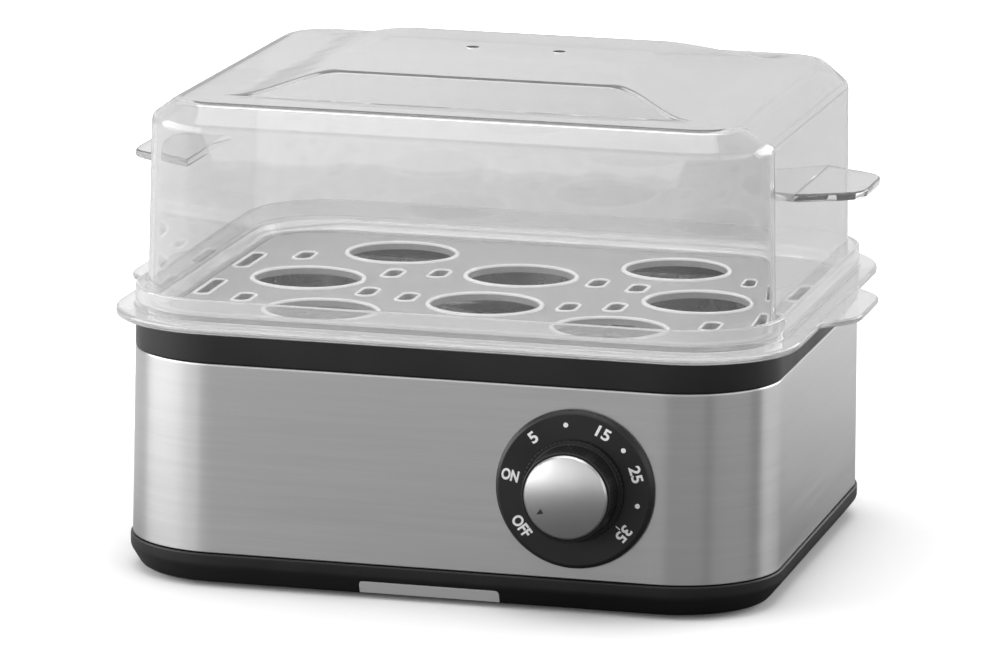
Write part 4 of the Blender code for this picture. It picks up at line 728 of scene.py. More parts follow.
def clear_styrene(name, tint, clearest, haze, milk):
    """Clear moulded styrene: glossy, a little milky, with faint flow waves that bend what lies behind."""
    material, tree, place = new_material(name)
    waves = noise(tree, place, WAVE_SIZE, 1.0)
    rubbing = noise(tree, place, RUBBING_SIZE, 4.0)
    inputs = {
        "Base Color": blended(tree, rubbing, tint, clearest),
        "Roughness": between(tree, rubbing, haze, 2 * haze),
        "IOR": 1.5,
        "Transmission Weight": 1 - milk,
        "Normal": relief(tree, waves, WAVE_DEPTH),
    }
    shell = add(tree, "ShaderNodeBsdfPrincipled", inputs).outputs[0]
    passing = add(tree, "ShaderNodeBsdfTransparent", {"Color": linear("#f2f2f2")}).outputs[0]
    rays = add(tree, "ShaderNodeLightPath").outputs
    mixed = add(tree, "ShaderNodeMixShader", {0: rays["Is Shadow Ray"], 1: shell, 2: passing}).outputs[0]
    add(tree, "ShaderNodeOutputMaterial", {"Surface": mixed})
    return material


# Geometry Nodes trees for what repeats


def repeated_tree(name, sizes, make_instance):
    """A tree that puts one shape on every point of a mesh, with named sizes and a finish."""
    tree = bpy.data.node_groups.new(name, "GeometryNodeTree")
    tree.interface.new_socket("Geometry", in_out="INPUT", socket_type="NodeSocketGeometry")
    for size in sizes:
        tree.interface.new_socket(size, in_out="INPUT", socket_type="NodeSocketFloat")
    tree.interface.new_socket("Finish", in_out="INPUT", socket_type="NodeSocketMaterial")
    tree.interface.new_socket("Geometry", in_out="OUTPUT", socket_type="NodeSocketGeometry")
    given = add(tree, "NodeGroupInput").outputs
    inputs = {"Points": given["Geometry"], "Instance": make_instance(tree, given)}
    placed = add(tree, "GeometryNodeInstanceOnPoints", inputs).outputs[0]
    real = add(tree, "GeometryNodeRealizeInstances", {"Geometry": placed}).outputs[0]
    painted = add(tree, "GeometryNodeSetMaterial", {"Geometry": real, "Material": given["Finish"]}).outputs[0]
    add(tree, "NodeGroupOutput", {"Geometry": painted})
    return tree


def slot_outline(tree, given):
    """A round-ended slot's outline as a curve."""
    inputs = {"Width": given["Width"], "Height": given["Length"]}
    box = add(tree, "GeometryNodeCurvePrimitiveQuadrilateral", inputs, mode="RECTANGLE").outputs[0]
    inputs = {0: given["Width"], 1: SLOT_END_SHARE}
    radius = add(tree, "ShaderNodeMath", inputs, operation="MULTIPLY").outputs[0]
    inputs = {"Curve": box, "Radius": radius, "Count": SLOT_END_STEPS, "Limit Radius": True}
    return add(tree, "GeometryNodeFilletCurve", inputs, mode="POLY").outputs[0]


def slot_cutter(tree, given):
    """A slot's outline filled and raised into a closed cutter."""
    face = add(tree, "GeometryNodeFillCurve", {"Curve": slot_outline(tree, given)}, mode="NGONS").outputs[0]
    inputs = {"Mesh": face, "Offset Scale": given["Height"], "Individual": False}
    raised = add(tree, "GeometryNodeExtrudeMesh", inputs, mode="FACES").outputs[0]
    under = add(tree, "GeometryNodeFlipFaces", {"Mesh": face}).outputs[0]
    both = add(tree, "GeometryNodeJoinGeometry", {"Geometry": [raised, under]}).outputs[0]
    return add(tree, "GeometryNodeMergeByDistance", {"Geometry": both, "Distance": WELD_DISTANCE}).outputs[0]


def slot_bead(tree, given):
    """A raised bead that runs round a slot's edge."""
    inputs = {"Resolution": BEAD_STEPS, "Radius": given["Bead"]}
    bead = add(tree, "GeometryNodeCurvePrimitiveCircle", inputs, mode="RADIUS").outputs[0]
    inputs = {"Curve": slot_outline(tree, given), "Profile Curve": bead}
    return add(tree, "GeometryNodeCurveToMesh", inputs).outputs[0]


def knurl_bar(tree, given):
    """A fine bar along the knob's axis, which half sinks into the knob as a ridge."""
    inputs = {"Vertices": RIDGE_STEPS, "Radius": given["Radius"], "Depth": given["Depth"]}
    return add(tree, "GeometryNodeMeshCylinder", inputs).outputs[0]


def repeated(tree, places, level, **sizes):
    """The closed bodies that a tree makes on (x, y) places at one level, as one mesh."""
    points = bpy.data.meshes.new("places")
    points.from_pydata([(x, y, level) for x, y in places], [], [])
    holder = new_object("places", points)
    step = holder.modifiers.new("repeat", "NODES")
    step.node_group = tree
    for socket in tree.interface.items_tree:
        if socket.in_out == "INPUT" and socket.name in sizes:
            step[socket.identifier] = sizes[socket.name]
    bodies = joined([applied(holder).data])
    bpy.data.objects.remove(holder, do_unlink=True)
    return bodies


# Pieces of the body


def make_base(material):
    """The black moulded base: slanted skirt, floor with vents, upstand inside the sleeve and four pillars."""
    inside_sleeve = SLEEVE_FOOT.grown(-SLEEVE_SHEET - SEAT_GAP - SLEEVE_SPREAD)
    upstand_top = BASE_RIM_Z + BASE_UPSTAND
    section = (
        (BASE_BOTTOM.grown(-2 * BASE_BOTTOM_ROUND), 0),
        (BASE_BOTTOM, BASE_BOTTOM_ROUND),
        (BASE_RIM.at(BASE_RIM_Z - BASE_RIM_HEIGHT), 2 * BASE_RIM_ROUND),
        (BASE_RIM.at(BASE_RIM_Z), BASE_RIM_ROUND),
        (inside_sleeve.at(BASE_RIM_Z), 0),
        (inside_sleeve.at(upstand_top), BASE_RIM_ROUND),
        (inside_sleeve.grown(-BASE_WALL).at(upstand_top), BASE_RIM_ROUND),
        (BASE_BOTTOM.grown(-BASE_WALL).at(FLOOR_TOP), BASE_BOTTOM_ROUND),
        (BASE_BOTTOM.grown(-BASE_WALL - 2 * BASE_BOTTOM_ROUND).at(FLOOR_TOP), 0),
    )
    base = new_object("base_moulding", lofted("base", section, closed=False))
    pillars = four_corners(PILLAR_X, PILLAR_Y)
    middle_of_floor = FOOT_PROUD + BASE_FLOOR / 2
    combine(base, "UNION", [rod(PILLAR_RADIUS, middle_of_floor, PILLAR_TOP_Z, place) for place in pillars])
    low = FOOT_PROUD - CUT_OVERRUN
    head_bore = SCREW_HEAD_RADIUS + SEAT_GAP
    stem_bore = SCREW_RADIUS + SEAT_GAP
    bore = (
        ((head_bore, low), 0),
        ((head_bore, SCREW_SEAT_Z), 0),
        ((stem_bore, SCREW_SEAT_Z), 0),
        ((stem_bore, PILLAR_TOP_Z + CUT_OVERRUN), 0),
    )
    cuts = [turned("bore", bore, steps=SMALL_STEPS, centre=place) for place in pillars]
    over_floor = FLOOR_TOP + CUT_OVERRUN
    foot_bore = FOOT_STEM_RADIUS + SEAT_GAP
    cuts += [rod(foot_bore, low, over_floor, place) for place in four_corners(FOOT_X, FOOT_Y)]
    vents = [((index - (VENT_COUNT - 1) / 2) * VENT_PITCH, 0) for index in range(VENT_COUNT)]
    depth = over_floor - low
    cuts.append(repeated(SLOT_CUTTERS, vents, low, Width=VENT_WIDTH, Length=VENT_LENGTH, Height=depth))
    recess = prism("recess", insert_points(SEAT_GAP), -INSERT_THICKNESS - SEAT_GAP, CUT_OVERRUN)
    recess.transform(insert_frame())
    cuts.append(recess)
    combine(base, "DIFFERENCE", cuts)
    finished(base, "base", material, ["base_tray"])


def insert_points(grow):
    """The insert's outline in its own plane, flat at the bottom and rounded at its two top corners."""
    half = INSERT_LENGTH / 2 + grow
    top = INSERT_HEIGHT + grow
    corner = INSERT_CORNER + grow
    section = (((-half, -grow), 0), ((half, -grow), 0), ((half, top), corner), ((-half, top), corner))
    return [tuple(point) for point in eased(section)]


def insert_frame():
    """Where the insert's plane lies on the slanted front of the base."""
    drop = BASE_RIM_Z - BASE_RIM_HEIGHT - FOOT_PROUD
    slope = Vector((0, -BASE_FRONT_TUCK, drop)).normalized()
    across = Vector((1, 0, 0))
    turn = Matrix((across, slope, across.cross(slope))).transposed().to_4x4()
    turn.translation = Vector((0, -BASE_BOTTOM.half_depth, FOOT_PROUD)) + slope * INSERT_BOTTOM_MARGIN
    return turn


def make_insert(material):
    """The grey insert in the base's slanted front."""
    mesh = prism("insert", insert_points(0), -INSERT_THICKNESS, 0)
    mesh.transform(insert_frame())
    insert = rounded(new_object("base_insert", mesh), INSERT_EDGE)
    finished(insert, "base", material, ["base_front_insert"])


def make_feet(material):
    """Four rubber feet, each with a stem through the base's floor."""
    seat = FOOT_PROUD - SEAT_GAP
    section = (
        ((FOOT_RADIUS / 2, 0), 0),
        ((FOOT_RADIUS, 0), FOOT_EDGE),
        ((FOOT_RADIUS, seat), FOOT_EDGE / 2),
        ((FOOT_STEM_RADIUS, seat), 0),
        ((FOOT_STEM_RADIUS, FLOOR_TOP + FOOT_STEM_PROUD), 0),
    )
    for x, y in four_corners(FOOT_X, FOOT_Y):
        node = "foot_{}_{}".format("right" if x > 0 else "left", "rear" if y > 0 else "front")
        mesh = turned("foot", section, steps=SMALL_STEPS, centre=(x, y))
        finished(new_object("rubber_" + node, mesh), "base", material, [node])


def front_holes():
    """Offset from the dial's middle and radius of each hole behind the dial."""
    half = TIMER_SCREW_SPACING / 2
    clear = SCREW_RADIUS + SEAT_GAP
    return ((0, TIMER_NECK_RADIUS + SEAT_GAP), (half, clear), (-half, clear))


def make_sleeve(material):
    """The brushed steel sleeve, with eased edges and holes for the timer and the gland."""
    section = (
        (SLEEVE_FOOT, SLEEVE_EDGE / 2),
        (SLEEVE_TOP, SLEEVE_EDGE),
        (SLEEVE_TOP.grown(-SLEEVE_SHEET), SLEEVE_EDGE / 2),
        (SLEEVE_FOOT.grown(-SLEEVE_SHEET), SLEEVE_EDGE / 2),
    )
    sleeve = new_object("sleeve_of_steel", lofted("sleeve", section))
    near = SLEEVE_TOP.half_depth - SLEEVE_SHEET - CUT_OVERRUN
    far = DIAL_BACK + CUT_OVERRUN
    cuts = [facing(rod(radius, near, far), DIAL_X + offset, DIAL_Z) for offset, radius in front_holes()]
    cuts.append(facing(rod(GLAND_NECK_RADIUS + SEAT_GAP, near, far), GLAND_X, GLAND_Z, -1))
    combine(sleeve, "DIFFERENCE", cuts)
    finished(sleeve, "base", material, ["steel_sleeve"])


def make_collar(material):
    """The black collar: a band over the sleeve, a skirt inside it, the pan's shelf and four bosses."""
    shelf_under = SHELF_Z - COLLAR_SHELF_THICKNESS
    skirt = SLEEVE_TOP.grown(-SLEEVE_SHEET - SEAT_GAP)
    skirt_inside = skirt.grown(-COLLAR_WALL)
    skirt_foot = SLEEVE_TOP_Z - COLLAR_SKIRT
    section = (
        (SLEEVE_TOP.at(COLLAR_TOP_Z), COLLAR_EDGE),
        (SLEEVE_TOP.at(COLLAR_Z), COLLAR_EDGE / 2),
        (skirt.at(COLLAR_Z), 0),
        (skirt.at(skirt_foot), 0),
        (skirt_inside.at(skirt_foot), 0),
        (skirt_inside.at(shelf_under), COLLAR_EDGE),
        (SHELF_INSIDE.at(shelf_under), 0),
        (SHELF_INSIDE.at(SHELF_Z), COLLAR_EDGE),
        (TRAY_OPENING.at(SHELF_Z), COLLAR_EDGE),
        (TRAY_OPENING.at(COLLAR_TOP_Z), COLLAR_EDGE),
    )
    collar = new_object("collar_band", lofted("collar", section))
    places = four_corners(PILLAR_X, PILLAR_Y)
    foot = PILLAR_TOP_Z + SEAT_GAP
    bosses = [rod(BOSS_RADIUS, foot, SHELF_Z - COLLAR_SHELF_THICKNESS / 2, place) for place in places]
    combine(collar, "UNION", bosses)
    low = foot - CUT_OVERRUN
    high = SCREW_TOP_Z + SEAT_GAP
    combine(collar, "DIFFERENCE", [rod(SCREW_RADIUS + SEAT_GAP, low, high, place) for place in places])
    finished(collar, "base", material, ["top_collar"])


def make_pan(material):
    """The pressed steel water pan, with its flange and two welded studs below."""
    flange_top = PAN_FLANGE_Z + PAN_SHEET
    under = PAN_FLOOR_Z - PAN_SHEET
    edge = PAN_TOP.grown(PAN_FLANGE)
    section = (
        (PAN_BOTTOM.grown(-3 * PAN_BEND).at(PAN_FLOOR_Z), 0),
        (PAN_BOTTOM.at(PAN_FLOOR_Z), PAN_BEND),
        (PAN_TOP.at(flange_top), PAN_SHEET),
        (edge.at(flange_top), PAN_SHEET / 2),
        (edge.at(PAN_FLANGE_Z), PAN_SHEET / 2),
        (PAN_TOP.grown(PAN_SHEET).at(PAN_FLANGE_Z), PAN_SHEET / 2),
        (PAN_BOTTOM.grown(PAN_SHEET).at(under), PAN_BEND),
        (PAN_BOTTOM.grown(-3 * PAN_BEND).at(under), 0),
    )
    pan = new_object("pressed_pan", lofted("pan", section, closed=False))
    high = under + PAN_SHEET / 2
    low = high - STUD_LENGTH
    studs = [rod(STUD_RADIUS, low, high, (side * STUD_SPACING / 2, 0)) for side in (-1, 1)]
    combine(pan, "UNION", studs)
    finished(pan, "base", material, ["water_pan"])


def make_gland(material):
    """The snap-in bush in the rear of the sleeve that the cord would pass through."""
    outer = SLEEVE_FOOT.half_depth + SEAT_GAP
    outer_face = outer + GLAND_FLANGE
    inner = SLEEVE_TOP.half_depth - SLEEVE_SHEET - SEAT_GAP
    inner_face = inner - GLAND_INNER_LIP
    section = (
        ((GLAND_BORE_RADIUS, outer_face), GLAND_EDGE),
        ((GLAND_FLANGE_RADIUS, outer_face), GLAND_EDGE),
        ((GLAND_FLANGE_RADIUS, outer), 0),
        ((GLAND_NECK_RADIUS, outer), 0),
        ((GLAND_NECK_RADIUS, inner), 0),
        ((GLAND_FLANGE_RADIUS, inner), 0),
        ((GLAND_FLANGE_RADIUS, inner_face), GLAND_EDGE),
        ((GLAND_BORE_RADIUS, inner_face), GLAND_EDGE),
    )
    mesh = facing(turned("gland", section, closed=True, steps=SMALL_STEPS), GLAND_X, GLAND_Z, -1)
    finished(new_object("gland_bush", mesh), "base", material, ["cord_gland"])


# Dial and knob


def make_dial(material):
    """The round dial plate, bevelled at its edge, with pockets for the screw heads."""
    reach = SHAFT_RADIUS + RUN_GAP
    section = (
        ((reach, DIAL_BACK), 0),
        ((DIAL_RADIUS, DIAL_BACK), KNOB_EDGE),
        ((DIAL_RADIUS, DIAL_FACE - DIAL_BEVEL), KNOB_EDGE),
        ((DIAL_RADIUS - DIAL_BEVEL, DIAL_FACE), KNOB_EDGE),
        ((reach, DIAL_FACE), 0),
    )
    dial = new_object("dial_disc", facing(turned("dial", section, closed=True), DIAL_X, DIAL_Z))
    radius = SCREW_HEAD_RADIUS + SEAT_GAP
    low = DIAL_BACK - CUT_OVERRUN
    high = DIAL_BACK + DIAL_POCKET_DEPTH
    pockets = [facing(rod(radius, low, high), DIAL_X + offset, DIAL_Z) for offset, _ in front_holes()[1:]]
    combine(dial, "DIFFERENCE", pockets)
    finished(dial, "base", material, ["dial_plate"])


def lettering(text, width_share):
    """A word as a thin mesh round its own middle, as tall as the dial's marks and of its own width."""
    curve = bpy.data.curves.new("word", "FONT")
    curve.body = text
    curve.offset = MARK_WEIGHT_SHARE / width_share
    holder = new_object("word", curve)
    flat = evaluated_mesh(holder)
    bpy.data.objects.remove(holder, do_unlink=True)
    low = [min(vertex.co[axis] for vertex in flat.vertices) for axis in (0, 1)]
    high = [max(vertex.co[axis] for vertex in flat.vertices) for axis in (0, 1)]
    size = MARK_HEIGHT / (high[1] - low[1])
    middle = Vector(((low[0] + high[0]) / 2, (low[1] + high[1]) / 2, 0))
    flat.transform(Matrix.Diagonal((size * width_share, size, size, 1)) @ Matrix.Translation(-middle))
    return thickened(flat)


def thickened(flat):
    """Gives a flat mesh that faces +Z the printed film's thickness."""
    shape = bmesh.new()
    shape.from_mesh(flat)
    bmesh.ops.remove_doubles(shape, verts=shape.verts, dist=MARK_CLEARANCE / 10)
    bmesh.ops.dissolve_limit(shape, angle_limit=DEGREE, verts=shape.verts, edges=shape.edges)
    raised = bmesh.ops.extrude_face_region(shape, geom=shape.faces[:])["geom"]
    corners = [item for item in raised if isinstance(item, bmesh.types.BMVert)]
    bmesh.ops.translate(shape, verts=corners, vec=(0, 0, MARK_SHEET))
    return mesh_from("film", shape)


def flat_shape(points):
    """A flat mesh with one face."""
    mesh = bpy.data.meshes.new("flat")
    mesh.from_pydata([(x, y, 0) for x, y in points], [], [range(len(points))])
    return mesh


def on_dial(mesh, radius, direction, turn, reach):
    """Places a flat mark at a distance and direction from the dial's middle, with its letters turned."""
    angle = direction * DEGREE
    place = Matrix.Translation((radius * math.cos(angle), radius * math.sin(angle), reach + MARK_CLEARANCE))
    mesh.transform(place @ Matrix.Rotation(turn * DEGREE, 4, "Z"))
    return facing(mesh, DIAL_X, DIAL_Z)


def make_marks(material):
    """The dial's printed numbers, words and dots."""
    marks = [
        on_dial(lettering(text, width_share), MARK_RADIUS, direction, turn, DIAL_FACE)
        for text, direction, turn, width_share in DIAL_WORDS
    ]
    for direction in DIAL_DOTS:
        dot = thickened(flat_shape([point[:2] for point in circle(DOT_RADIUS, 0, SMALL_STEPS)]))
        marks.append(on_dial(dot, MARK_RADIUS, direction, 0, DIAL_FACE))
    x = TICK_LENGTH / 2
    y = TICK_WIDTH / 2
    tick = thickened(flat_shape(((-x, -y), (x, -y), (x, y), (-x, y))))
    marks.append(on_dial(tick, TICK_RADIUS, TICK_DIRECTION, TICK_DIRECTION, DIAL_FACE))
    finished(new_object("dial_marks", joined(marks)), "base", material)


def ridge_bars(radius, low, high, lean=0.0):
    """A ring of fine bars round the knob, which lean inwards towards the front."""
    middle = (low + high) / 2
    places = [point[:2] for point in circle(radius, middle, KNOB_RIDGES)]
    bars = repeated(KNURL_BARS, places, middle, Radius=RIDGE_RADIUS, Depth=high - low)
    for vertex in bars.vertices:
        share = 1 - lean * (vertex.co.z - middle) / radius
        vertex.co.x *= share
        vertex.co.y *= share
    return bars


def make_knob(material):
    """The ridged black knob: hollow behind, with a hub on the shaft and a recess for its cap."""
    bore = SHAFT_RADIUS + SEAT_GAP
    hub = bore + KNOB_HUB_WALL
    foot_front = KNOB_BACK + KNOB_FOOT_HEIGHT
    hollow_floor = KNOB_BACK + KNOB_HOLLOW_DEPTH
    recess_floor = CAP_EDGE - CAP_THICKNESS - SEAT_GAP
    recess = CAP_RADIUS + SEAT_GAP
    foot_radius = KNOB_FOOT_RADIUS - RIDGE_RADIUS / 2
    section = (
        ((recess, recess_floor), 0),
        ((recess, KNOB_FRONT), 0),
        ((KNOB_FRONT_RADIUS, KNOB_FRONT), KNOB_EDGE),
        ((KNOB_BACK_RADIUS, foot_front), KNOB_EDGE),
        ((foot_radius, foot_front), KNOB_EDGE),
        ((foot_radius, KNOB_BACK), KNOB_EDGE),
        ((KNOB_BACK_RADIUS - KNOB_WALL, KNOB_BACK), 0),
        ((KNOB_FRONT_RADIUS - KNOB_WALL, hollow_floor), KNOB_EDGE),
        ((hub, hollow_floor), KNOB_EDGE),
        ((hub, KNOB_BACK), 0),
    )
    rings = [circle(radius, height) for radius, height in eased(section, closed=False)]
    flat = SHAFT_FLAT + SEAT_GAP
    rings += [circle(bore, height, flat=flat) for height in (KNOB_BACK, KNOB_BACK + SHAFT_IN_KNOB + SEAT_GAP)]
    knob = new_object("knob_body", skin("knob", rings))
    barrel = (KNOB_BACK_RADIUS + KNOB_FRONT_RADIUS) / 2 - RIDGE_RADIUS / 2
    lean = (KNOB_BACK_RADIUS - KNOB_FRONT_RADIUS) / (KNOB_FRONT - foot_front)
    bars = [
        ridge_bars(barrel, foot_front - KNOB_EDGE, KNOB_FRONT - 2 * KNOB_EDGE, lean),
        ridge_bars(KNOB_FOOT_RADIUS - RIDGE_RADIUS, KNOB_BACK + KNOB_EDGE, foot_front + KNOB_EDGE / 2),
    ]
    combine(knob, "UNION", bars)
    facing(knob.data, DIAL_X, DIAL_Z)
    finished(knob, "knob", material, ["knob_skirt"])


def make_cap(material):
    """The satin metal cap on the knob's front, chamfered and slightly domed."""
    back = CAP_EDGE - CAP_THICKNESS
    face = CAP_RADIUS - CAP_BEVEL
    section = [
        ((CAP_RADIUS / 2, back), 0),
        ((CAP_RADIUS, back), KNOB_EDGE),
        ((CAP_RADIUS, CAP_EDGE - CAP_BEVEL), CAP_BEVEL_ROUND),
        ((face, CAP_EDGE), CAP_BEVEL_ROUND),
    ]
    for step in range(1, CROWN_STEPS):
        share = 1 - step / CROWN_STEPS
        section.append(((face * share, CAP_EDGE + CAP_DOME * (1 - share ** 2)), 0))
    mesh = facing(turned("cap", section), DIAL_X, DIAL_Z)
    finished(new_object("metal_cap", mesh), "knob", material, ["knob_cap"])


def make_pointer(material):
    """The small dark triangle printed on the cap."""
    x = POINTER_LENGTH / 2
    y = POINTER_WIDTH / 2
    triangle = thickened(flat_shape(((x, 0), (-x, y), (-x, -y))))
    on_dial(triangle, POINTER_RADIUS, POINTER_DIRECTION, POINTER_DIRECTION, CAP_EDGE + CAP_DOME / 2)
    finished(new_object("cap_pointer", triangle), "knob", material)


# Tray, rack and lid


def handle_bar(root_x, tip_x, root_width, tip_width, corner, low, high):
    """A pair of handles, one on each side: flat plates that taper to a rounded tip, with eased edges."""
    half_root = root_width / 2
    half_tip = tip_width / 2
    section = (
        ((root_x, -half_root), 0),
        ((tip_x, -half_tip), 2 * corner),
        ((tip_x, half_tip), 2 * corner),
        ((root_x, half_root), 0),
    )
    points = [tuple(point) for point in eased(section)]
    pair = [prism("handle", [(side * x, y) for x, y in points], low, high) for side in (1, -1)]
    handles = rounded(new_object("handles", joined(pair)), HANDLE_EDGE)
    mesh = handles.data
    bpy.data.objects.remove(handles, do_unlink=True)
    return mesh


def make_tray(material):
    """The clear tray: flange, rim, the lid's ledge, a shallow well and the rack's lip."""
    well_foot = TRAY_Z - WELL_DEPTH
    section = (
        (FLANGE.at(TRAY_Z), FLANGE_EDGE),
        (FLANGE.at(FLANGE_TOP_Z), FLANGE_EDGE),
        (RIM.at(FLANGE_TOP_Z), TRAY_ROUND),
        (RIM.at(RIM_TOP_Z), TRAY_ROUND),
        (RIM_INSIDE.at(RIM_TOP_Z), TRAY_ROUND),
        (RIM_INSIDE.at(LEDGE_Z), TRAY_ROUND),
        (LEDGE_INSIDE.at(LEDGE_Z), TRAY_ROUND),
        (WELL_FOOT_INSIDE.at(LIP_TOP_Z), TRAY_ROUND),
        (LIP_INSIDE.at(LIP_TOP_Z), TRAY_ROUND),
        (LIP_INSIDE.at(well_foot), TRAY_ROUND),
        (WELL_FOOT_OUTSIDE.at(well_foot), TRAY_ROUND),
        (WELL_TOP_OUTSIDE.at(TRAY_Z), TRAY_ROUND),
    )
    tray = new_object("clear_tray", lofted("tray", section))
    root_x = FLANGE.half_width - HANDLE_ROOT_OVERLAP
    tip_x = FLANGE.half_width + TRAY_HANDLE_REACH
    low = TRAY_Z + TRAY_HANDLE_STEP
    high = FLANGE_TOP_Z - TRAY_HANDLE_STEP
    handles = handle_bar(root_x, tip_x, TRAY_HANDLE_ROOT, TRAY_HANDLE_TIP, TRAY_HANDLE_CORNER, low, high)
    combine(tray, "UNION", [handles])
    finished(tray, "tray", material, ["steam_tray"])


def egg_places():
    """Centres of the egg holes."""
    places = four_corners(CORNER_EGG_X, CORNER_EGG_Y)
    return places + [(SIDE_EGG_X, 0), (-SIDE_EGG_X, 0), (0, MIDDLE_EGG_Y), (0, -MIDDLE_EGG_Y)]


def make_rack(material, rim_highlight_material):
    """The egg rack: a plate with egg holes and steam slots, and a polished bead round each, coloured lighter
    as a painted highlight.
    """
    section = (
        (RACK.grown(-2 * RACK_EDGE).at(RACK_Z), 0),
        (RACK.at(RACK_Z), RACK_EDGE),
        (RACK.at(RACK_TOP_Z), RACK_EDGE),
        (RACK.grown(-2 * RACK_EDGE).at(RACK_TOP_Z), 0),
    )
    rack = new_object("rack_plate", lofted("rack", section, closed=False))
    short = four_corners(OUTER_SLOT_X, OUTER_SLOT_Y) + four_corners(INNER_SLOT_X, INNER_SLOT_Y)
    short += four_corners(CENTRE_SLOT_X, CENTRE_SLOT_Y)
    openings = (
        # places, width, length, radius of the bead
        (egg_places(), 2 * EGG_HOLE_RADIUS, 2 * EGG_HOLE_RADIUS, EGG_RIM_BEAD),
        (short, SLOT_WIDTH, SLOT_LENGTH, SLOT_RIM_BEAD),
        (four_corners(LONG_SLOT_X, LONG_SLOT_Y), LONG_SLOT_WIDTH, LONG_SLOT_LENGTH, SLOT_RIM_BEAD),
    )
    low = RACK_Z - CUT_OVERRUN
    height = RACK_THICKNESS + 2 * CUT_OVERRUN
    beads = []
    cuts = []
    for places, width, length, bead in openings:
        cuts.append(repeated(SLOT_CUTTERS, places, low, Width=width, Length=length, Height=height))
        width += BEAD_SPREAD * bead
        length += BEAD_SPREAD * bead
        beads.append(repeated(SLOT_BEADS, places, RACK_TOP_Z, Width=width, Length=length, Bead=bead))
    combine(rack, "DIFFERENCE", cuts)
    finished(rack, "rack", material, ["egg_rack"])
    # The beads are polished, and their lighter colour is a painted highlight
    finished(new_object("rack_rims", joined(beads)), "rack", rim_highlight_material)


def crown_rings(sink):
    """The raised crown from its top down: straight slopes at front and back, S-shaped ones at the sides."""
    rings = []
    for step in range(CROWN_STEPS + 1):
        share = 1 - step / CROWN_STEPS
        rise = share * share * (3 - 2 * share)
        half_width = CROWN_FOOT.half_width + share * (CROWN_TOP_WIDTH / 2 - CROWN_FOOT.half_width)
        half_depth = CROWN_FOOT.half_depth + rise * (CROWN_TOP_DEPTH / 2 - CROWN_FOOT.half_depth)
        rings.append(Outline(half_width, half_depth, CROWN_CORNER, CROWN_FOOT_Z + rise * CROWN_RISE - sink))
    return rings


def crease(mesh):
    """Folds the crown's flat top along a faint line, in front of which it falls slightly."""
    shape = bmesh.new()
    shape.from_mesh(mesh)
    bmesh.ops.bisect_plane(shape, geom=shape.verts[:] + shape.edges[:] + shape.faces[:],
                           plane_co=(0, CREASE_Y, 0), plane_no=(0, 1, 0), dist=WELD_DISTANCE)
    run = CROWN_TOP_DEPTH / 2 + CREASE_Y
    for vertex in shape.verts:
        ahead = min(max((CREASE_Y - vertex.co.y) / run, 0), 1)
        height = min(max((vertex.co.z - CROWN_FOOT_Z + LID_WALL) / CROWN_RISE, 0), 1)
        vertex.co.z -= CREASE_DROP * ahead * height
    return mesh_from("lid", shape)


def make_lid(material):
    """The clear lid: drafted walls, a chamfered shoulder, a raised crown, vents and two handles."""
    wall = LID_WALL
    crown = crown_rings(0)
    crown_inside = crown_rings(wall)
    walls = (
        (crown[-1], 0),
        (LID_CREST, LID_ROUND),
        (LID_SHOULDER, LID_ROUND),
        (LID_FOOT, wall / 3),
        (LID_FOOT.grown(-wall), wall / 3),
        (LID_SHOULDER.grown(-wall).at(LID_SHOULDER_Z - wall / 2), LID_ROUND),
        (LID_CREST.grown(-wall / 2).at(LID_CREST_Z - wall), LID_ROUND),
        (crown_inside[-1], 0),
    )
    rings = [Outline(*point) for point in eased(walls, closed=False)]
    rings = crown[:-1] + rings + crown_inside[-2::-1]
    lid = new_object("lid_shell", crease(skin("lid", [outline.ring() for outline in rings])))
    wall_x = LID_FOOT.half_width - LID_SIDE_DRAFT * LID_HANDLE_HEIGHT / LID_WALL_HEIGHT
    root_x = wall_x - wall / 2
    tip_x = wall_x + LID_HANDLE_REACH
    high = LID_Z + LID_HANDLE_HEIGHT
    low = high - LID_HANDLE_THICKNESS
    handles = handle_bar(root_x, tip_x, LID_HANDLE_ROOT, LID_HANDLE_TIP, LID_HANDLE_CORNER, low, high)
    combine(lid, "UNION", [handles])
    low = CROWN_TOP_Z - wall - CUT_OVERRUN
    high = CROWN_TOP_Z + CUT_OVERRUN
    vents = [rod(VENT_HOLE_RADIUS, low, high, (side * VENT_HOLE_X, VENT_HOLE_Y)) for side in (1, -1)]
    combine(lid, "DIFFERENCE", vents)
    finished(lid, "lid", material, ["clear_lid"])


def dress(finishes):
    """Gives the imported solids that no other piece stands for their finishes."""
    for material, nodes in finishes:
        for name in nodes:
            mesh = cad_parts[name].data
            mesh.materials.clear()
            mesh.materials.append(material)


# Camera, floor, world and lamps

# The photograph's view: a long lens from the front right, a little above the object, with angles in radians
VIEW_TURN = 0.240542
VIEW_RISE = 0.204537
VIEW_ROLL = 0.0144277
VIEW_DISTANCE = 2568.87 * MM
VIEW_SIDE = -0.193 * MM
VIEW_UP = 63.718 * MM
LENS = 247.43
FLOOR_SIZE = 9.0
# To the eye the floor glows faintly under the object and turns to plain white away from it
NEAR_GLOW = 0.03
FAR_GLOW = 0.9
NEAR_REACH = 0.17
FAR_REACH = 0.75
# Strength of the world as clear plastic shows it, and as light from the front and from behind
GLASS_WORLD = 0.85
FRONT_AMBIENT = 0.18
REAR_AMBIENT = 0.75
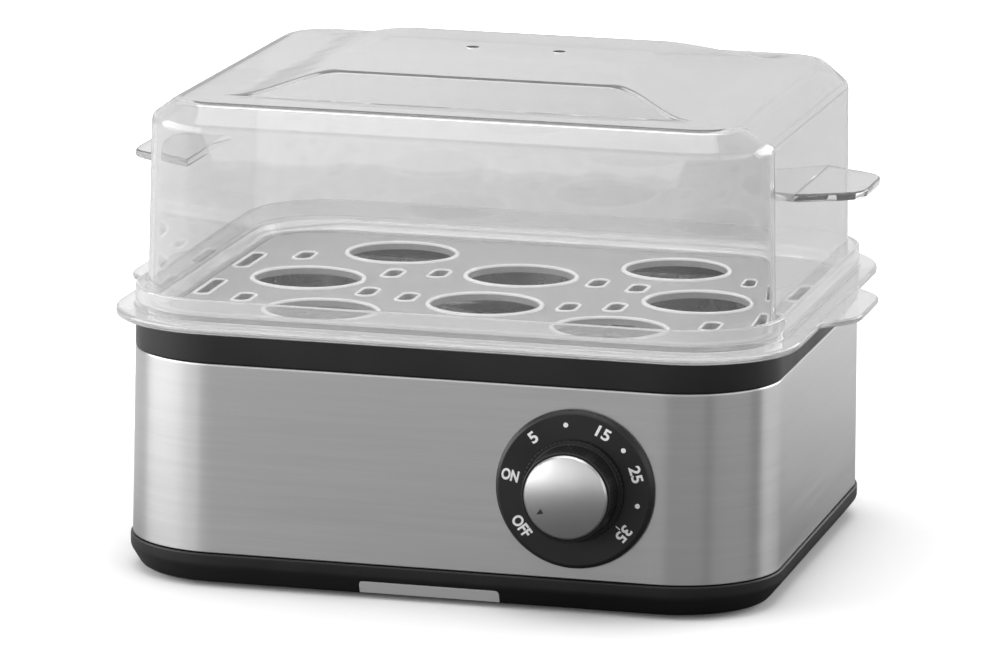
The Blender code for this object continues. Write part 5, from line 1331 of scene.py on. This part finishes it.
# Directions and reaches of the floor's painted light and shade, in reflections and behind clear plastic
MIRROR_DIRECTION = (-0.7, 0.7, 0)
MIRROR_START = -0.15
MIRROR_END = 0.3
GLASS_DIRECTION = (-math.cos(VIEW_TURN), -math.sin(VIEW_TURN), 0)
GLASS_REACH = 0.2
LAMPS = (
    # name, place, point it faces, width, height, power
    ("overhead_softbox", (-0.1, 0.05, 1.5), (-0.1, 0.05, 0), 1.6, 1.8, 17.0),
    ("left_softbox", (-1.45, -0.42, 0.46), (0, 0, 0.08), 1.5, 0.9, 14.0),
    ("left_front_softbox", (-0.96, -1.18, 0.42), (0, 0, 0.1), 0.5, 0.8, 3.2),
    ("front_left_softbox", (-0.39, -1.55, 0.42), (0, 0, 0.1), 1.1, 0.8, 3.6),
    ("front_right_softbox", (0.68, -1.45, 0.42), (0, 0, 0.1), 1.1, 0.8, 2.3),
    ("right_front_softbox", (1.44, -0.45, 0.42), (0, 0, 0.1), 1.4, 0.8, 3.2),
    ("right_softbox", (1.05, 0.98, 0.42), (0, 0, 0.08), 1.2, 0.8, 9.0),
)


def gradient(tree, place, direction, start, end):
    """A share that rises smoothly along a direction."""
    inputs = {0: place, 1: direction}
    along = add(tree, "ShaderNodeVectorMath", inputs, operation="DOT_PRODUCT").outputs["Value"]
    inputs = {"Value": along, "From Min": start, "From Max": end}
    return add(tree, "ShaderNodeMapRange", inputs, interpolation_type="SMOOTHSTEP").outputs[0]


def studio_floor():
    """Paper floor: white to the eye, with painted shade greyer to the right behind plastic and dim in front
    in reflections.
    """
    material, tree, place = new_material("studio_paper_floor")
    paper = blended(tree, noise(tree, place, PAPER_MOTTLE), "#f6f6f6", "#ffffff")
    # Painted light and shade for reflections: the floor is dim in front and bright to the left and behind
    mirror_share = gradient(tree, place, MIRROR_DIRECTION, MIRROR_START, MIRROR_END)
    painted_reflection_shade = blended(tree, mirror_share, "#606060", "#cacaca")
    # Painted shade behind clear plastic: the floor glows as a backdrop that is greyer to the right
    glass_share = gradient(tree, place, GLASS_DIRECTION, -GLASS_REACH, GLASS_REACH)
    behind = blended(tree, glass_share, "#d8d8d8", "#ffffff")
    rays = add(tree, "ShaderNodeLightPath").outputs
    shade = blended(tree, rays["Is Camera Ray"], painted_reflection_shade, paper)
    lit = add(tree, "ShaderNodeBsdfDiffuse", {"Color": shade}).outputs[0]
    distance = add(tree, "ShaderNodeVectorMath", {0: place}, operation="LENGTH").outputs["Value"]
    inputs = {"Value": distance, "From Min": NEAR_REACH, "From Max": FAR_REACH}
    inputs |= {"To Min": NEAR_GLOW, "To Max": FAR_GLOW}
    glow = add(tree, "ShaderNodeMapRange", inputs, interpolation_type="SMOOTHSTEP").outputs[0]
    lift = add(tree, "ShaderNodeMath", {0: rays["Is Camera Ray"], 1: glow}, operation="MULTIPLY").outputs[0]
    shine = add(tree, "ShaderNodeEmission", {"Color": shade, "Strength": lift}).outputs[0]
    both = add(tree, "ShaderNodeAddShader", {0: lit, 1: shine}).outputs[0]
    backdrop = add(tree, "ShaderNodeEmission", {"Color": behind}).outputs[0]
    inputs = {0: rays["Is Transmission Ray"], 1: both, 2: backdrop}
    mixed = add(tree, "ShaderNodeMixShader", inputs).outputs[0]
    add(tree, "ShaderNodeOutputMaterial", {"Surface": mixed})
    return material


def add_camera():
    """The camera at the photograph's viewing angle."""
    turn, rise = VIEW_TURN, VIEW_RISE
    back = Vector((math.sin(turn) * math.cos(rise), -math.cos(turn) * math.cos(rise), math.sin(rise)))
    level = Vector((math.cos(turn), math.sin(turn), 0))
    upright = back.cross(level)
    right = math.cos(VIEW_ROLL) * level + math.sin(VIEW_ROLL) * upright
    up = math.cos(VIEW_ROLL) * upright - math.sin(VIEW_ROLL) * level
    camera = new_object("camera", bpy.data.cameras.new("camera"))
    camera.data.lens = LENS
    camera.data.clip_end = 2 * FLOOR_SIZE
    place = back * VIEW_DISTANCE + right * VIEW_SIDE + up * VIEW_UP + MIDDLE + Vector((0, 0, SLEEVE_Z))
    camera.matrix_world = Matrix.Translation(place) @ Matrix((right, up, back)).transposed().to_4x4()
    bpy.context.scene.camera = camera


def add_floor():
    """The pale floor, which catches the object's shadow."""
    half = FLOOR_SIZE / 2
    corners = ((-half, -half), (half, -half), (half, half), (-half, half))
    floor = new_object("floor", flat_shape(corners))
    floor.data.materials.append(studio_floor())


def add_world():
    """A studio that is white to the eye and nearly white behind clear plastic. Its light is dim in front."""
    world = bpy.data.worlds.new("studio")
    world.use_nodes = True
    tree = world.node_tree
    tree.nodes.clear()
    direction = add(tree, "ShaderNodeTexCoord").outputs["Generated"]
    depth = add(tree, "ShaderNodeSeparateXYZ", {0: direction}).outputs[1]
    inputs = {"Value": depth, "From Min": -1.0, "To Min": FRONT_AMBIENT, "To Max": REAR_AMBIENT}
    ambient = add(tree, "ShaderNodeMapRange", inputs).outputs[0]
    rays = add(tree, "ShaderNodeLightPath").outputs
    inputs = {"Value": rays["Is Transmission Ray"], "To Min": ambient, "To Max": GLASS_WORLD}
    strength = add(tree, "ShaderNodeMapRange", inputs).outputs[0]
    inputs = {"Value": rays["Is Camera Ray"], "To Min": strength, "To Max": 1.0}
    strength = add(tree, "ShaderNodeMapRange", inputs).outputs[0]
    light = add(tree, "ShaderNodeBackground", {"Color": linear("#ffffff"), "Strength": strength}).outputs[0]
    add(tree, "ShaderNodeOutputWorld", {"Surface": light})
    bpy.context.scene.world = world


def add_lamps():
    """Soft studio lamps round the object."""
    for name, place, target, width, height, power in LAMPS:
        lamp = bpy.data.lights.new(name, "AREA")
        lamp.shape = "RECTANGLE"
        lamp.size = width
        lamp.size_y = height
        lamp.energy = power
        holder = new_object(name, lamp)
        aim = (Vector(target) - Vector(place)).to_track_quat("-Z", "Y")
        holder.matrix_world = Matrix.Translation(place) @ aim.to_matrix().to_4x4()


SLOT_CUTTERS = repeated_tree("slot_cutters", ("Width", "Length", "Height"), slot_cutter)
SLOT_BEADS = repeated_tree("slot_beads", ("Width", "Length", "Bead"), slot_bead)
KNURL_BARS = repeated_tree("knurl_bars", ("Radius", "Depth"), knurl_bar)

# Spark-eroded black mouldings and a lacquered dial plate: satin, with soft highlights on rounded edges
black_abs = moulded_plastic("black_moulded_abs", "#0a0a0a", "#111111", 0.42, 0.35 * MM, 0.01 * MM)
knob_abs = moulded_plastic("knob_moulded_abs", "#101010", "#181818", 0.38, 0.3 * MM, 0.008 * MM)
dial_lacquer = moulded_plastic("dial_lacquered_black", "#1b1b1b", "#222222", 0.4, 0.3 * MM, 0.004 * MM)
# Printing ink: flat and even
white_print = moulded_plastic("dial_white_print", "#f8f8f8", "#ffffff", 0.5, 0.2 * MM, 0.002 * MM)
dark_print = moulded_plastic("cap_dark_print", "#202020", "#2c2c2c", 0.5, 0.2 * MM, 0.002 * MM)
# Moulded greys: waxy on the rack, satin on the insert, and polished on the rack's beads, whose lighter colour
# is a painted highlight
grey_plastic = moulded_plastic("rack_grey_polypropylene", "#969696", "#a2a2a2", 0.38, 0.4 * MM, 0.008 * MM)
rim_highlight_plastic = moulded_plastic("rim_painted_highlight_polypropylene", "#dcdcdc", "#e8e8e8", 0.22, 0.4 * MM, 0.002 * MM)
insert_plastic = moulded_plastic("insert_grey_abs", "#bebebe", "#c8c8c8", 0.4, 0.35 * MM, 0.006 * MM)
# Moulded rubber and silicone: dull, with no clear highlight
rubber = moulded_plastic("foot_black_rubber", "#1a1a1a", "#262626", 0.75, 0.5 * MM, 0.02 * MM)
silicone = moulded_plastic("gasket_red_silicone", "#8a3a2c", "#9c4636", 0.55, 0.6 * MM, 0.01 * MM)
# Pressed ceramic and insulated leads inside the body
ceramic = moulded_plastic("steatite_ceramic", "#d9d5c8", "#e6e2d6", 0.35, 1.2 * MM, 0.02 * MM)
lead_red = moulded_plastic("lead_red_pvc", "#a32019", "#b5281f", 0.45, 0.5 * MM, 0.006 * MM)
lead_blue = moulded_plastic("lead_blue_pvc", "#23489c", "#2b55b0", 0.45, 0.5 * MM, 0.006 * MM)
lead_white = moulded_plastic("lead_white_glass_sleeve", "#cfcdc4", "#e0ded6", 0.7, 0.4 * MM, 0.04 * MM)
# Metals: pressed, plated and drawn steel, rough-cast aluminium and turned brass, each with its own marks
pan_steel = worked_metal("pan_pressed_stainless", "#747474", "#828282", 0.24, 9 * MM, 0.01 * MM)
plated_steel = worked_metal("zinc_plated_steel", "#b9bcc0", "#c9ccd0", 0.34, 3 * MM, 0.008 * MM)
drawn_marks = (2 * MM, 2 * MM, 6 * MM)
sheath_steel = worked_metal("element_sheath_steel", "#a8a8a6", "#b6b6b4", 0.3, drawn_marks, 0.008 * MM)
cast_aluminium = worked_metal("spreader_cast_aluminium", "#c0c2c5", "#cfd1d4", 0.42, 1 * MM, 0.03 * MM)
turned_marks = (0.5 * MM, 0.5 * MM, 2 * MM)
brass = worked_metal("terminal_turned_brass", "#c9a45c", "#d6b46c", 0.3, turned_marks, 0.01 * MM)
brushed_steel = brushed_stainless()
cap_aluminium = turned_aluminium()
# Clear styrene: the lid is the clearer one, and the tray is a little milky
lid_styrene = clear_styrene("lid_clear_styrene", "#e6e6e6", "#eeeeee", 0.01, 0.05)
tray_styrene = clear_styrene("tray_clear_styrene", "#ececec", "#f4f4f4", 0.015, 0.2)

make_base(black_abs)
make_insert(insert_plastic)
make_feet(rubber)
make_sleeve(brushed_steel)
make_collar(black_abs)
make_pan(pan_steel)
make_gland(rubber)
make_dial(dial_lacquer)
make_marks(white_print)
make_knob(knob_abs)
make_cap(cap_aluminium)
make_pointer(dark_print)
make_tray(tray_styrene)
make_rack(grey_plastic, rim_highlight_plastic)
make_lid(lid_styrene)
dress((
    (plated_steel, (
        "base_screw_right_rear", "base_screw_right_front", "base_screw_left_rear", "base_screw_left_front",
        "element_clamp", "clamp_nut_left", "clamp_nut_right", "timer_plate", "timer_case",
        "timer_screw_right", "timer_screw_left", "timer_shaft", "knob_clip",
    )),
    (silicone, ("pan_gasket",)),
    (cast_aluminium, ("heat_spreader",)),
    (sheath_steel, ("heating_element", "timer_bell")),
    (ceramic, ("thermostat", "terminal_block")),
    (brass, ("terminal_screw_1", "terminal_screw_2", "terminal_screw_3")),
    (lead_red, ("lead_live",)),
    (lead_blue, ("lead_neutral",)),
    (lead_white, ("lead_switched", "thermal_fuse")),
))

add_camera()
add_floor()
add_world()
add_lamps()
bpy.context.scene.view_settings.view_transform = "Standard"
